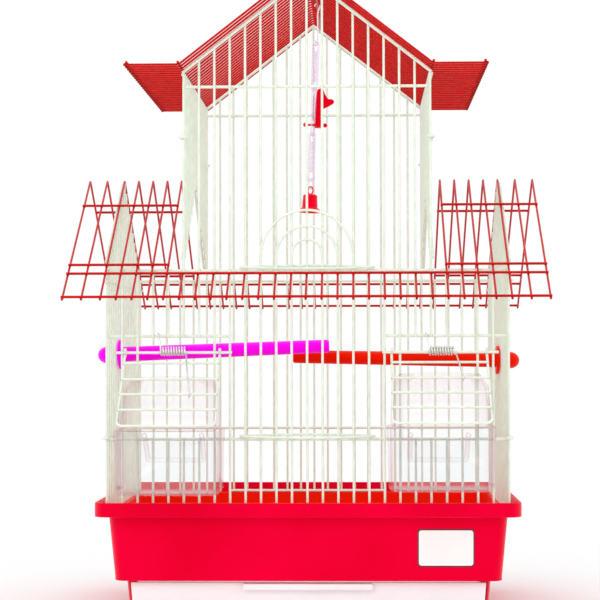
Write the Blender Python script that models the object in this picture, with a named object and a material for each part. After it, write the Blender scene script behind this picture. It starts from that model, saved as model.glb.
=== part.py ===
"""Small house-shaped wire bird cage: welded wire walls and two red wire roofs on a moulded base
with a pull-out drawer, a sliding front door, two feeders behind sprung wire flaps, two perches
and a hanging toy. Sizes are in metres, +Z is up and the front faces -Y."""

import math

import bmesh
import bpy
from mathutils import Matrix, Vector

for old in list(bpy.data.objects):
    bpy.data.objects.remove(old)

MM = 0.001
FIT = 0.3 * MM  # gap between pieces that rest on each other
WELD = 0.35 * MM  # depth that one welded wire sinks into another
TOUCH = 0.05 * MM  # gap where one round wire lies alongside another
X_AXIS, Y_AXIS, Z_AXIS = Vector((1, 0, 0)), Vector((0, 1, 0)), Vector((0, 0, 1))
SIDES = {"left": -1, "right": 1}

# Wires
BAR_R = 0.9 * MM
CROSS_R = 1.1 * MM
GABLE_R = 1.2 * MM
ROOF_R = 0.85 * MM
STRINGER_R = 1.0 * MM
HINGE_R = 1.0 * MM

# Plan of the wire walls
CAGE_WIDTH = 300 * MM
CAGE_DEPTH = 230 * MM
FRONT_GAPS = 26
SIDE_GAPS = 20
FRONT_PITCH = CAGE_WIDTH / FRONT_GAPS
SIDE_PITCH = CAGE_DEPTH / SIDE_GAPS
HALF_WIDTH = CAGE_WIDTH / 2
HALF_DEPTH = CAGE_DEPTH / 2
TOWER_BAR = 5  # the tower's corner wires, the feeder openings and the doorway, counted in bars from a corner
FEEDER_BARS = (2, 7)
FEEDER_TOP_BAR = 8
DOOR_BAR = 9
BACK_TIE_BARS = (7, 18)  # the short wire low on the back wall, counted in bars from the left
TOWER_HALF = HALF_WIDTH - TOWER_BAR * FRONT_PITCH
WIRE_END = 3 * MM  # how far a cross wire runs on past its last bar

# Heights, each counted from one below it
LEDGE_Z = 80 * MM
LOW_CROSS_RISE = 55 * MM  # above the ledge
FEEDER_TOP_RISE = 77 * MM  # above the low cross wire
HINGE_DROP = 12.3 * MM  # below the wire over the feeders
EAVE_CROSS_RISE = 49 * MM  # above the wire over the feeders
SIDE_LOW_RISE = 1 * MM  # the side walls' cross wires, above the front's low one and below its high one
SIDE_HIGH_DROP = 8 * MM
LOWER_RIDGE_RISE = 77 * MM  # above the cross wire at the eaves
TOWER_SIDE_RISE = 23 * MM  # above the lower ridge
WING_RISE = 74 * MM  # above the lower ridge
TOWER_CROSS_DROPS = {1: 13 * MM, -1: 8.5 * MM}  # below the wings, front and back
TOP_RIDGE_RISE = 72.5 * MM  # above the wings
LOW_CROSS_Z = LEDGE_Z + LOW_CROSS_RISE
FEEDER_TOP_Z = LOW_CROSS_Z + FEEDER_TOP_RISE
HINGE_Z = FEEDER_TOP_Z - HINGE_DROP
EAVE_CROSS_Z = FEEDER_TOP_Z + EAVE_CROSS_RISE
LOWER_RIDGE_Z = EAVE_CROSS_Z + LOWER_RIDGE_RISE
WING_Z = LOWER_RIDGE_Z + WING_RISE
TOP_RIDGE_Z = WING_Z + TOP_RIDGE_RISE

# Lower roof
LOWER_DROP = 99 * MM  # from its ridge to its eaves
EAVE_OVERHANG = 40 * MM
SIDE_OVERHANG = 27 * MM
LOWER_COUNT = 30  # gaps between its wires
V_WIRES = 7  # on each side of the tower
RAFTER_TAIL = 2 * MM
SKIRT_SHARE = 0.815  # the upper wire of the front and back eave strips, as a share of the slope
STRINGER_SHARES = (0.24, 0.745)
ROOF_WIDTH = CAGE_WIDTH + 2 * SIDE_OVERHANG
LOWER_EAVE_Y = HALF_DEPTH + EAVE_OVERHANG
LOWER_SLOPE = LOWER_DROP / LOWER_EAVE_Y
LOWER_ANGLE = math.atan(LOWER_SLOPE)
LOWER_PITCH = ROOF_WIDTH / LOWER_COUNT

# Top roof
KINK_MARGIN = 1.3 * MM  # from the tower's corner wires out to the roof's kink
WING_LENGTH = 38.4 * MM
TOP_OVERHANG = 28 * MM
TOP_COUNT = 24
STRINGER_TAIL = 2 * MM
TOY_WIRE_X = 6 * MM
WING_KINK_X = TOWER_HALF + KINK_MARGIN
WING_END_X = WING_KINK_X + WING_LENGTH
TOP_LENGTH = CAGE_DEPTH + 2 * TOP_OVERHANG
TOP_SLOPE = TOP_RIDGE_RISE / WING_KINK_X
TOP_ANGLE = math.atan(TOP_SLOPE)

# Base and drawer: margins from the plan of the wires, across and along
RIM_MARGIN = (9.3 * MM, 8 * MM)
TRAY_TOP_MARGIN = (-0.6 * MM, -1.8 * MM)
TRAY_LOW_MARGIN = (-4.7 * MM, -5.8 * MM)
PLINTH_TOP_MARGIN = (-12.8 * MM, -14 * MM)
PLINTH_LOW_MARGIN = (-15.1 * MM, -19 * MM)
BASE_WALL = 2.2 * MM
RIM_RISE = 8 * MM  # above the ledge
RIM_HEIGHT = 11 * MM
PLINTH_TOP_Z = 28.5 * MM
TRAY_SKIRT = 3.2 * MM  # the upright edge at the foot of the tray's walls
CORNER_R = 8 * MM
CORNER_STEPS = 2
MOUTH_DEPTH = 12 * MM
DRAWER_GAP = 0.8 * MM
DRAWER_SIDE_GAP = 3.2 * MM
DRAWER_WALL = 1.8 * MM
DRAWER_TOP_GAP = 1.2 * MM
PLATE_THICK = 2.4 * MM
PLATE_MARGIN = 1.6 * MM  # past the drawer's sides
PLATE_FOOT_Z = 1 * MM
JOIN = 1 * MM  # depth that the parts of one moulding run into each other
LIP_HALF = 49 * MM
LIP_DEPTH = 4.5 * MM
LIP_HEIGHT = 5 * MM
LIP_NOTCH = 0.4 * MM
RIM_TOP_Z = LEDGE_Z + RIM_RISE
RIM_LOW_Z = RIM_TOP_Z - RIM_HEIGHT
TRAY_LOW_Z = PLINTH_TOP_Z + TRAY_SKIRT
DRAWER_TOP_Z = PLINTH_TOP_Z - DRAWER_TOP_GAP

# Door
ARCH_GAP = 11.5 * MM
ARCH_RISES = (23 * MM, 33 * MM, 45 * MM)  # above the cross wire at the eaves
ARCH_STEPS = 8
DOOR_LOOP_HALF = 50 * MM
LOOP_SAG = 1.2 * MM
LOOP_SHARES = (-0.75, -0.35, 0, 0.35, 0.75)  # places along each straight run of a loop

# Feeders
FEEDER_X = {"left": -100.6 * MM, "right": 98.3 * MM}
FLAP_HALF = 35.4 * MM
FLAP_LENGTH = 76.1 * MM
FLAP_ANGLES = {"left": math.radians(44), "right": math.radians(42)}  # below the horizontal
FLAP_CORNER = 4 * MM
FLAP_RUNGS = (12.7 * MM, 29.6 * MM, 45.2 * MM, 61 * MM)
EYELET_R = 2.6 * MM
EYELET_TURN = 300  # degrees
HINGE_END = 4 * MM  # how far the hinge wire runs past its outer bar
CUP_HALF = 39.2 * MM
CUP_FOOT_HALF = 38 * MM
CUP_DEPTH = 57.5 * MM
CUP_FOOT_DEPTH = 53 * MM
CUP_HEIGHT = 46.9 * MM
CUP_RISE = 11 * MM  # the right cup's mouth, above the low cross wire
CUP_DROP = {"left": 2.7 * MM, "right": 0 * MM}
CUP_BAND = 9 * MM
CUP_STEP = 0.8 * MM  # the band stands out this far
CUP_WALL = 1.6 * MM
CUP_CORNER = 13 * MM
CUP_CHAMFER = 2 * MM
CUP_CORNER_STEPS = 3
NOTCH_MARGIN = 5 * MM
HOOD_HEIGHT = 38.5 * MM
HOOD_HALF = 36.5 * MM
HOOD_SHOULDER_HALF = 35.5 * MM
HOOD_TOP_HALF = 30 * MM
HOOD_FOOT_SHARE = 0.1  # shares of its height where its sides start to lean and where its shoulder is
HOOD_SHOULDER_SHARE = 0.75
HOOD_SETBACK = 3 * MM  # the hood's foot, behind the cup's front
RAIL_HALF = 21.5 * MM
RAIL_R = 1.9 * MM
RAIL_DROP = 20 * MM
RAIL_REACH = 26 * MM
RAIL_HOOK = 3 * MM  # the part of each leg that lies over the cup and over the cross wire

# Springs of the flaps
SPRING_R = 3 * MM
SPRING_WIRE_R = 0.6 * MM
SPRING_TURNS = 9
SPRING_PITCH = 2 * MM
SPRING_POINTS = 8
SPRING_CLEAR = 0.5 * MM  # gap between its arms and the wires that they rest on
SPRING_START = {"left": -109.2 * MM, "right": 91 * MM}
SPRING_RUNG = {"left": 2, "right": 1}
SPRING_LEAN = 5.2 * MM  # its lower arm, to the right
SPRING_UPPER_LEAN = 2.2 * MM  # its upper arm, to the left
SPRING_RISER = 5 * MM
SPRING_FALL = 2.5 * MM

# Perches: gap that they stand in, counted from the front
PERCHES = {
    "left": {"gap": 5, "rise": 6.2 * MM, "length": 164 * MM, "flange": 11.5 * MM, "height": 118.4 * MM},
    "right": {"gap": 7, "rise": 3 * MM, "length": 162 * MM, "flange": 11.2 * MM, "height": 113.4 * MM},
}
PERCH_R = 5.8 * MM
PERCH_TIP_R = 5.1 * MM
TIP_CHAMFER = 1 * MM
FLANGE_THICK = 2.5 * MM
STUD_R = 2.5 * MM
STUD_LENGTH = 9 * MM
KNOB_R = 6.5 * MM
KNOB_LENGTH = 13.2 * MM
KNOB_DOME = ((1, 0.45), (0.85, 0.75), (0.5, 0.94))  # shares of its radius and of its length
TURNED_SIDES = 12

# Toy
TOY_TILT = math.radians(2.3)
TOY_FIT = 0.6 * MM
LINK_R = 0.8 * MM
LINK_HALF = 2.4 * MM
LINK_LENGTH = 40.3 * MM
LINK_TURNS = (-30, 60, -30)  # degrees that each link is turned from the front
LINK_EYE = 7 * MM  # the open end of a link, past its thin web
WEB_THICK = 0.6 * MM
PIN_LINK = 2  # the link that carries the bird
TOY_HOOK_R = 0.6 * MM
TOY_HOOK_LENGTH = 32 * MM
HOOK_ARC = (200, -10)  # degrees round the roof wire
HOOK_LOOP_ARC = 240
HOOK_LOOP_SLACK = 0.4 * MM
HOOK_NECK = 6 * MM
PIN_R = 0.9 * MM
PIN_UP = 8.6 * MM
PIN_LEFT = -5.8 * MM
PIN_RIGHT = 9.5 * MM
FOOT_LEFT = 4.2 * MM
FOOT_RIGHT = 7.1 * MM
FOOT_MARGIN = 1.2 * MM
BIRD_THICK = 3 * MM
BIRD_OUTLINE = (  # in mm from the pin: tail, breast, beak, head and back
    (0.9, -1.9),
    (7.2, -1.9),
    (7.4, 6),
    (7.2, 13.6),
    (11, 15.2),
    (16, 18.4),
    (16.4, 20.4),
    (14.4, 22),
    (11.4, 21.6),
    (8.8, 25.5),
    (7.2, 29.6),
    (4.6, 30.4),
    (2.2, 29),
    (1.2, 20),
)
BELL_R = 8.9 * MM
BELL_WAIST = 6.3 * MM
BELL_HEIGHT = 14.8 * MM
BELL_WALL = 1.1 * MM
BELL_CROWN = 4.2 * MM  # the crown, below the bell's pivot
BELL_CROWN_THICK = 2.2 * MM
BELL_LIP = 1.8 * MM
BELL_FLARE = 4 * MM  # where the flare starts, above the lip's edge
EYE_HALF = 2.4 * MM
EYE_LENGTH = 6 * MM
CLAPPER_PROFILE = (  # in mm, radius and depth: head, stem and drop
    (0, 0),
    (1.2, 0),
    (1.2, 0.8),
    (0.7, 1),
    (0.7, 6.4),
    (1.7, 7.4),
    (1.9, 8.4),
    (1.3, 9.9),
    (0, 10.4),
)
RING_R = 3.2 * MM
RING_LENGTH = 8.4 * MM
RING_WIRE_R = 0.6 * MM


def around(margin):
    """Half the size, across and along, of an outline that lies a margin outside the wires' plan."""
    return (HALF_WIDTH + margin[0], HALF_DEPTH + margin[1])


RIM_HALF = around(RIM_MARGIN)
TRAY_TOP_HALF = around(TRAY_TOP_MARGIN)
TRAY_LOW_HALF = around(TRAY_LOW_MARGIN)
PLINTH_TOP_HALF = around(PLINTH_TOP_MARGIN)
PLINTH_LOW_HALF = around(PLINTH_LOW_MARGIN)


def principled(name, colour, roughness, metallic=0.0, alpha=1.0):
    """A Principled material from a hex sRGB colour."""
    channels = [int(colour[i : i + 2], 16) / 255 for i in (1, 3, 5)]
    linear = [c / 12.92 if c <= 0.04045 else ((c + 0.055) / 1.055) ** 2.4 for c in channels]
    made = bpy.data.materials.new(name)
    made.use_nodes = True
    shader = made.node_tree.nodes["Principled BSDF"]
    shader.inputs["Base Color"].default_value = (*linear, 1)
    shader.inputs["Roughness"].default_value = roughness
    shader.inputs["Metallic"].default_value = metallic
    shader.inputs["Alpha"].default_value = alpha
    return made


def place(name, bm, material=None, smooth=True, location=(0, 0, 0), rotation=(0, 0, 0)):
    """Turns the bmesh into an object in the scene, with its faces outward."""
    bmesh.ops.recalc_face_normals(bm, faces=bm.faces)
    mesh = bpy.data.meshes.new(name)
    bm.to_mesh(mesh)
    bm.free()
    if smooth:
        mesh.shade_smooth()
    made = bpy.data.objects.new(name, mesh)
    if material:
        mesh.materials.append(material)
    made.location = location
    made.rotation_mode = "ZYX"
    made.rotation_euler = rotation
    bpy.context.scene.collection.objects.link(made)
    return made


def combine(target, bm, operation, label):
    """Joins the bmesh's solids to the target or cuts them from it, by a Boolean with a hidden helper."""
    helper = place(f"{target.name}_{label}", bm)
    helper.hide_render = True
    helper.display_type = "WIRE"
    helper.location = target.location
    helper.rotation_euler = target.rotation_euler
    modifier = target.modifiers.new(label, "BOOLEAN")
    modifier.operation = operation
    modifier.object = helper
    return target


def bridge(bm, rings, closed=False):
    """Joins rings of vertices into a tube, with its two ends filled unless it closes on itself."""
    pairs = list(zip(rings, rings[1:]))
    if closed:
        pairs.append((rings[-1], rings[0]))
    for first, second in pairs:
        for i in range(len(first)):
            j = (i + 1) % len(first)
            bm.faces.new((first[i], first[j], second[j], second[i]))
    if not closed:
        bm.faces.new(reversed(rings[0]))
        bm.faces.new(rings[-1])


def wire(bm, points, radius, across, closed=False, sides=4, turn=0.0):
    """Adds a tube along the points. 'across' is a direction square to the way it starts out."""
    points = [Vector(p) for p in points]
    across = Vector(across).normalized()
    rings = []
    for i, point in enumerate(points):
        before = points[i - 1] if closed or i else None
        after = points[(i + 1) % len(points)] if closed or i + 1 < len(points) else None
        steps = [s.normalized() for s in (before and point - before, after and after - point) if s]
        tangent = sum(steps, Vector()).normalized()
        across = (across - across.dot(tangent) * tangent).normalized()
        side = tangent.cross(across)
        bend = (steps[-1] - steps[0]) if len(steps) == 2 else Vector()
        ring = []
        for k in range(sides):
            angle = math.pi / 2 + turn + 2 * math.pi * k / sides
            spoke = math.cos(angle) * side + math.sin(angle) * across
            if bend.length > 1e-6:
                inward = bend.normalized()
                stretch = 1 / tangent.dot(steps[0])
                spoke += (stretch - 1) * spoke.dot(inward) * inward
            ring.append(bm.verts.new(point + radius * spoke))
        rings.append(ring)
    bridge(bm, rings, closed)


def turned(bm, profile, sides, centre=(0, 0, 0)):
    """Adds a solid turned about the Z axis from (radius, height) points that start and end on it."""
    centre = Vector(centre)
    rings = []
    for radius, height in profile[1:-1]:
        ring = []
        for k in range(sides):
            angle = 2 * math.pi * k / sides
            place_at = Vector((radius * math.cos(angle), radius * math.sin(angle), height))
            ring.append(bm.verts.new(centre + place_at))
        rings.append(ring)
    for first, second in zip(rings, rings[1:]):
        for i in range(sides):
            j = (i + 1) % sides
            bm.faces.new((first[i], first[j], second[j], second[i]))
    for ring, (radius, height) in ((rings[0], profile[0]), (rings[-1], profile[-1])):
        pole = bm.verts.new(centre + Vector((0, 0, height)))
        for i in range(sides):
            bm.faces.new((ring[i], ring[(i + 1) % sides], pole))


def ball(bm, centre, radius, sides=6):
    """Adds a small ball, its poles along Z."""
    steps = [math.pi * k / 4 for k in range(5)]
    profile = [(radius * math.sin(a), -radius * math.cos(a)) for a in steps]
    turned(bm, profile, sides, centre)


def block(bm, low, high):
    """Adds a box between two corners."""
    low, high = Vector(low), Vector(high)
    matrix = Matrix.LocRotScale((low + high) / 2, None, high - low)
    bmesh.ops.create_cube(bm, size=1, matrix=matrix)


def arc(centre, first, second, radius, start, end, steps):
    """Points on an arc about the centre in the plane of two directions, between two angles in degrees."""
    made = []
    for k in range(steps + 1):
        angle = math.radians(start + (end - start) * k / steps)
        made.append(Vector(centre) + radius * (math.cos(angle) * first + math.sin(angle) * second))
    return made


def corner_ring(bm, half, radius, z, middle_y=0.0):
    """A ring of vertices round a rectangle with rounded corners."""
    ring = []
    for quarter, (sx, sy) in enumerate(((1, 1), (-1, 1), (-1, -1), (1, -1))):
        centre = (sx * (half[0] - radius), middle_y + sy * (half[1] - radius), z)
        start = 90 * quarter
        turn = arc(centre, X_AXIS, Y_AXIS, radius, start, start + 90, CORNER_STEPS)
        ring += [bm.verts.new(p) for p in turn]
    return ring


def shrink(half, wall):
    return (half[0] - wall, half[1] - wall)


def bar_x(n):
    """The place across of the front wires, counted from the left corner."""
    return -HALF_WIDTH + n * FRONT_PITCH


def gable_z(x):
    """The centre of the white gable wires under the top roof."""
    under = (ROOF_R + FIT + GABLE_R) / math.cos(TOP_ANGLE)
    return TOP_RIDGE_Z - under - TOP_SLOPE * abs(x)


def lower_roof_point(x, share, lift=0.0):
    """A point on the front slope of the lower roof, a share of the way down, lifted off the wires."""
    y = -share * LOWER_EAVE_Y
    z = LOWER_RIDGE_Z - LOWER_SLOPE * share * LOWER_EAVE_Y
    return Vector((x, y - lift * math.sin(LOWER_ANGLE), z + lift * math.cos(LOWER_ANGLE)))


def mirrored(point):
    return Vector((point[0], -point[1], point[2]))


BAR_FOOT_Z = LEDGE_Z + FIT
CROSS_OFFSET = BAR_R + CROSS_R - WELD
FRONT_Y = -HALF_DEPTH
FRONT_CROSS_Y = FRONT_Y + CROSS_OFFSET
BAR_FACE_Y = FRONT_Y - BAR_R
GABLE_OFFSET = BAR_R + GABLE_R - WELD
HINGE_Y = BAR_FACE_Y - HINGE_R + WELD
LIFT = ROOF_R + STRINGER_R - WELD
TOY_WIRE_Z = TOP_RIDGE_Z - TOP_SLOPE * TOY_WIRE_X - LIFT / math.cos(TOP_ANGLE)
CUP_BACK_Y = BAR_FACE_Y - FIT
RAIL_Z = LOW_CROSS_Z + CROSS_R + FIT + RAIL_R / math.sqrt(2)

WHITE_WIRE = principled("white_enamelled_wire", "#e6eae2", 0.35)
RED_WIRE = principled("red_enamelled_wire", "#c1201d", 0.4)
STEEL = principled("bright_spring_steel", "#c9ccc8", 0.3, 1.0)
RED_PLASTIC = principled("red_moulded_plastic", "#ee0036", 0.32)
WHITE_PLASTIC = principled("white_moulded_plastic", "#f3f3f1", 0.4)
CLEAR_PLASTIC = principled("clear_plastic", "#f2eef0", 0.08, 0.0, 0.35)
MAGENTA_PLASTIC = principled("magenta_plastic", "#fd02e4", 0.35)
SCARLET_PLASTIC = principled("scarlet_plastic", "#d81300", 0.35)
LILAC_PLASTIC = principled("lilac_plastic", "#d9b2e2", 0.25, 0.0, 0.7)


def wire_wall(name, bars, crosses, material=WHITE_WIRE):
    """One welded panel: the bars, with the cross wires joined to them."""
    return combine(place(name, bars, material), crosses, "UNION", "cross_wires")


def end_wall(name, side):
    """The front wall (side 1) or the back wall (side -1), with the tower above it."""
    y, cross_y = side * FRONT_Y, side * FRONT_CROSS_Y
    gable_y = side * (FRONT_Y - GABLE_OFFSET)
    bars, crosses = bmesh.new(), bmesh.new()
    for n in range(FRONT_GAPS + 1):
        x = bar_x(n)
        near = min(n, FRONT_GAPS - n)
        top = gable_z(x) + FIT if near >= TOWER_BAR else EAVE_CROSS_Z + CROSS_R
        spans = [(BAR_FOOT_Z, top)]
        if side == 1 and FEEDER_BARS[0] < near < FEEDER_BARS[1]:
            spans = [(BAR_FOOT_Z, LOW_CROSS_Z + BAR_R), (FEEDER_TOP_Z - BAR_R, top)]
        if side == 1 and near > DOOR_BAR:
            spans = [(BAR_FOOT_Z, LOW_CROSS_Z + BAR_R), (EAVE_CROSS_Z - BAR_R, top)]
        for low, high in spans:
            wire(bars, [(x, y, low), (x, y, high)], BAR_R, Y_AXIS)
    tower_cross_z = WING_Z - TOWER_CROSS_DROPS[side]
    levels = [(LOW_CROSS_Z, HALF_WIDTH), (EAVE_CROSS_Z, HALF_WIDTH), (tower_cross_z, TOWER_HALF)]
    for z, reach in levels:
        wire(crosses, [(-reach, cross_y, z), (reach, cross_y, z)], CROSS_R, Y_AXIS)
    corner = TOWER_HALF + BAR_R
    gable = [(x, gable_y, gable_z(x)) for x in (-corner, 0, corner)]
    wire(crosses, gable, GABLE_R, Y_AXIS)
    if side == 1:
        last = bar_x(FEEDER_TOP_BAR)
        for s in (-1, 1):
            wire(crosses, [(x, cross_y, FEEDER_TOP_Z) for x in (s * HALF_WIDTH, -s * last)], CROSS_R, Y_AXIS)
            ends = (s * (HALF_WIDTH - FRONT_PITCH + HINGE_END), -s * (last + WIRE_END / 2))
            wire(crosses, [(x, HINGE_Y, HINGE_Z) for x in ends], HINGE_R, Y_AXIS)
    else:
        tie_z = LEDGE_Z + FIT + CROSS_R
        first, last = (bar_x(n) for n in BACK_TIE_BARS)
        ends = (first - WIRE_END, last + WIRE_END)
        wire(crosses, [(x, cross_y, tie_z) for x in ends], CROSS_R, Y_AXIS)
    return wire_wall(name, bars, crosses)


def hooked_wire(bm, x_bars, x_wire, z):
    """A cross wire of a side wall, whose ends hook round the corner bars of the front and back walls."""
    outward = X_AXIS * math.copysign(1, x_bars)
    reach = BAR_R + CROSS_R + 2 * FIT
    hook = arc((x_bars, FRONT_Y, z), outward, -Y_AXIS, reach, 0, 135, 3)
    front = [Vector((x_wire, FRONT_Y + 3 * reach, z)), *hook]
    back = [mirrored(p) for p in front]
    wire(bm, [*reversed(front), *back], CROSS_R, Z_AXIS)


def side_wall(name, side):
    """A gabled side wall. The lower roof's nearest bent wire lies against its sloped wire."""
    x = side * HALF_WIDTH
    cross_x = x + side * CROSS_OFFSET
    roof_wires = [ROOF_WIDTH / 2 - k * LOWER_PITCH for k in range(V_WIRES)]
    beside = min(abs(wire_x - abs(cross_x)) for wire_x in roof_wires)
    reach = ROOF_R + CROSS_R + TOUCH
    under = math.sqrt(max(reach**2 - beside**2, 0)) / math.cos(LOWER_ANGLE)
    bars, crosses = bmesh.new(), bmesh.new()
    for k in range(1, SIDE_GAPS):
        y = -HALF_DEPTH + k * SIDE_PITCH
        top = LOWER_RIDGE_Z - under - LOWER_SLOPE * abs(y) + BAR_R
        wire(bars, [(x, y, BAR_FOOT_Z), (x, y, top)], BAR_R, X_AXIS)
    for z in (LOW_CROSS_Z + SIDE_LOW_RISE, EAVE_CROSS_Z - SIDE_HIGH_DROP):
        hooked_wire(crosses, x, cross_x, z)
    end_y = HALF_DEPTH - SIDE_PITCH + 2 * BAR_R
    slope = [(cross_x, y, LOWER_RIDGE_Z - under - LOWER_SLOPE * abs(y)) for y in (-end_y, 0, end_y)]
    wire(crosses, slope, CROSS_R, X_AXIS)
    return wire_wall(name, bars, crosses)


def tower_wall(name, side):
    """A side wall of the tower, between the two roofs, with its lower edge along the lower roof."""
    x = side * TOWER_HALF
    cross_x = x + side * CROSS_OFFSET
    top_z = WING_Z - ROOF_R - FIT - CROSS_R
    bars, crosses = bmesh.new(), bmesh.new()
    for k in range(1, SIDE_GAPS):
        y = -HALF_DEPTH + k * SIDE_PITCH
        foot = LOWER_RIDGE_Z - LOWER_SLOPE * abs(y) - BAR_R
        wire(bars, [(x, y, foot), (x, y, top_z + BAR_R / 2)], BAR_R, X_AXIS)
    end_y = HALF_DEPTH - SIDE_PITCH + 2 * BAR_R
    hooked_wire(crosses, x, cross_x, LOWER_RIDGE_Z + TOWER_SIDE_RISE)
    wire(crosses, [(cross_x, -end_y, top_z), (cross_x, end_y, top_z)], CROSS_R, X_AXIS)
    edge = [(cross_x, y, LOWER_RIDGE_Z - LOWER_SLOPE * abs(y)) for y in (-end_y, 0, end_y)]
    wire(crosses, edge, CROSS_R, X_AXIS)
    return wire_wall(name, bars, crosses)


def lower_roof():
    """Bent V wires each side of the tower, tied by stringers, with eave strips along the front and back."""
    tail = 1 + RAFTER_TAIL / LOWER_EAVE_Y
    bars, crosses = bmesh.new(), bmesh.new()
    for k in range(LOWER_COUNT + 1):
        x = -ROOF_WIDTH / 2 + k * LOWER_PITCH
        if min(k, LOWER_COUNT - k) < V_WIRES:
            foot = lower_roof_point(x, tail)
            wire(bars, [foot, (x, 0, LOWER_RIDGE_Z), mirrored(foot)], ROOF_R, X_AXIS)
        else:
            strip = [lower_roof_point(x, s) for s in (tail, SKIRT_SHARE - RAFTER_TAIL / LOWER_EAVE_Y)]
            wire(bars, strip, ROOF_R, X_AXIS)
            wire(bars, [mirrored(p) for p in strip], ROOF_R, X_AXIS)
    end = ROOF_WIDTH / 2 + STRINGER_TAIL
    inner = ROOF_WIDTH / 2 - (V_WIRES - 1) * LOWER_PITCH - STRINGER_TAIL
    runs = [(share, (side * inner, side * end)) for share in STRINGER_SHARES for side in (-1, 1)]
    runs += [(share, (-end, end)) for share in (SKIRT_SHARE, 1)]
    normal = Vector((0, -math.sin(LOWER_ANGLE), math.cos(LOWER_ANGLE)))
    for share, ends in runs:
        points = [lower_roof_point(x, share, LIFT) for x in ends]
        wire(crosses, points, STRINGER_R, normal)
        wire(crosses, [mirrored(p) for p in points], STRINGER_R, mirrored(normal))
    return wire_wall("lower_roof", bars, crosses, RED_WIRE)


def top_roof():
    """Bent wires over the tower, with flat wings, on stringers along the eaves, the kinks and the ridge."""
    bars, crosses = bmesh.new(), bmesh.new()
    for k in range(TOP_COUNT + 1):
        y = -TOP_LENGTH / 2 + k * TOP_LENGTH / TOP_COUNT
        right = [(WING_KINK_X, y, WING_Z), (WING_END_X + STRINGER_TAIL, y, WING_Z)]
        left = [(-px, py, pz) for px, py, pz in reversed(right)]
        wire(bars, [*left, (0, y, TOP_RIDGE_Z), *right], ROOF_R, Y_AXIS)
    end = TOP_LENGTH / 2 + STRINGER_TAIL
    kink_lift = LIFT / math.cos(TOP_ANGLE / 2)
    kink_x = WING_KINK_X + kink_lift * math.sin(TOP_ANGLE / 2)
    kink_z = WING_Z + kink_lift * math.cos(TOP_ANGLE / 2)
    runs = [(s * x, z, end) for s in (-1, 1) for x, z in ((WING_END_X, WING_Z + LIFT), (kink_x, kink_z))]
    runs.append((TOY_WIRE_X, TOY_WIRE_Z, HALF_DEPTH - 2 * BAR_R))
    for x, z, reach in runs:
        wire(crosses, [(x, -reach, z), (x, reach, z)], STRINGER_R, Z_AXIS)
    return wire_wall("top_roof", bars, crosses, RED_WIRE)


def base():
    """The moulded base: rim, ledge for the wires, sloping tray walls, and a plinth open at the front."""
    bm = bmesh.new()
    wall = BASE_WALL
    ledge_half = shrink(TRAY_TOP_HALF, wall)
    bridge(
        bm,
        [
            corner_ring(bm, PLINTH_LOW_HALF, CORNER_R, 0),
            corner_ring(bm, PLINTH_TOP_HALF, CORNER_R, PLINTH_TOP_Z),
            corner_ring(bm, TRAY_LOW_HALF, CORNER_R, PLINTH_TOP_Z + FIT),
            corner_ring(bm, TRAY_LOW_HALF, CORNER_R, TRAY_LOW_Z),
            corner_ring(bm, TRAY_TOP_HALF, CORNER_R, RIM_LOW_Z),
            corner_ring(bm, RIM_HALF, CORNER_R + wall, RIM_LOW_Z + FIT),
            corner_ring(bm, RIM_HALF, CORNER_R + wall, RIM_TOP_Z),
            corner_ring(bm, shrink(RIM_HALF, wall), CORNER_R, RIM_TOP_Z),
            corner_ring(bm, shrink(RIM_HALF, wall), CORNER_R, LEDGE_Z),
            corner_ring(bm, ledge_half, CORNER_R - wall, LEDGE_Z - FIT),
            corner_ring(bm, shrink(TRAY_LOW_HALF, wall), CORNER_R - wall, PLINTH_TOP_Z + wall + FIT),
            corner_ring(bm, shrink(PLINTH_TOP_HALF, wall), CORNER_R - wall, PLINTH_TOP_Z + wall),
            corner_ring(bm, shrink(PLINTH_TOP_HALF, wall), CORNER_R - wall, PLINTH_TOP_Z),
            corner_ring(bm, shrink(PLINTH_LOW_HALF, wall), CORNER_R - wall, wall),
        ],
    )
    made = place("base", bm, RED_PLASTIC, smooth=False)
    mouth = bmesh.new()
    heights = (BASE_WALL - FIT, PLINTH_TOP_Z - FIT)
    low, high = (plinth_half(z) - BASE_WALL - FIT for z in heights)
    section = [(-low, heights[0]), (low, heights[0]), (high, heights[1]), (-high, heights[1])]
    ends = (-RIM_HALF[1], MOUTH_DEPTH - PLINTH_LOW_HALF[1])
    bridge(mouth, [[mouth.verts.new((x, y, z)) for x, z in section] for y in ends])
    return combine(made, mouth, "DIFFERENCE", "drawer_mouth")


def plinth_half(z):
    """Half the plinth's width at a height, outside."""
    share = z / PLINTH_TOP_Z
    return PLINTH_LOW_HALF[0] + share * (PLINTH_TOP_HALF[0] - PLINTH_LOW_HALF[0])


def drawer_half(z):
    """Half the drawer's width at a height, inside the sloping walls of the plinth."""
    return plinth_half(z) - BASE_WALL - DRAWER_SIDE_GAP


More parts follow.
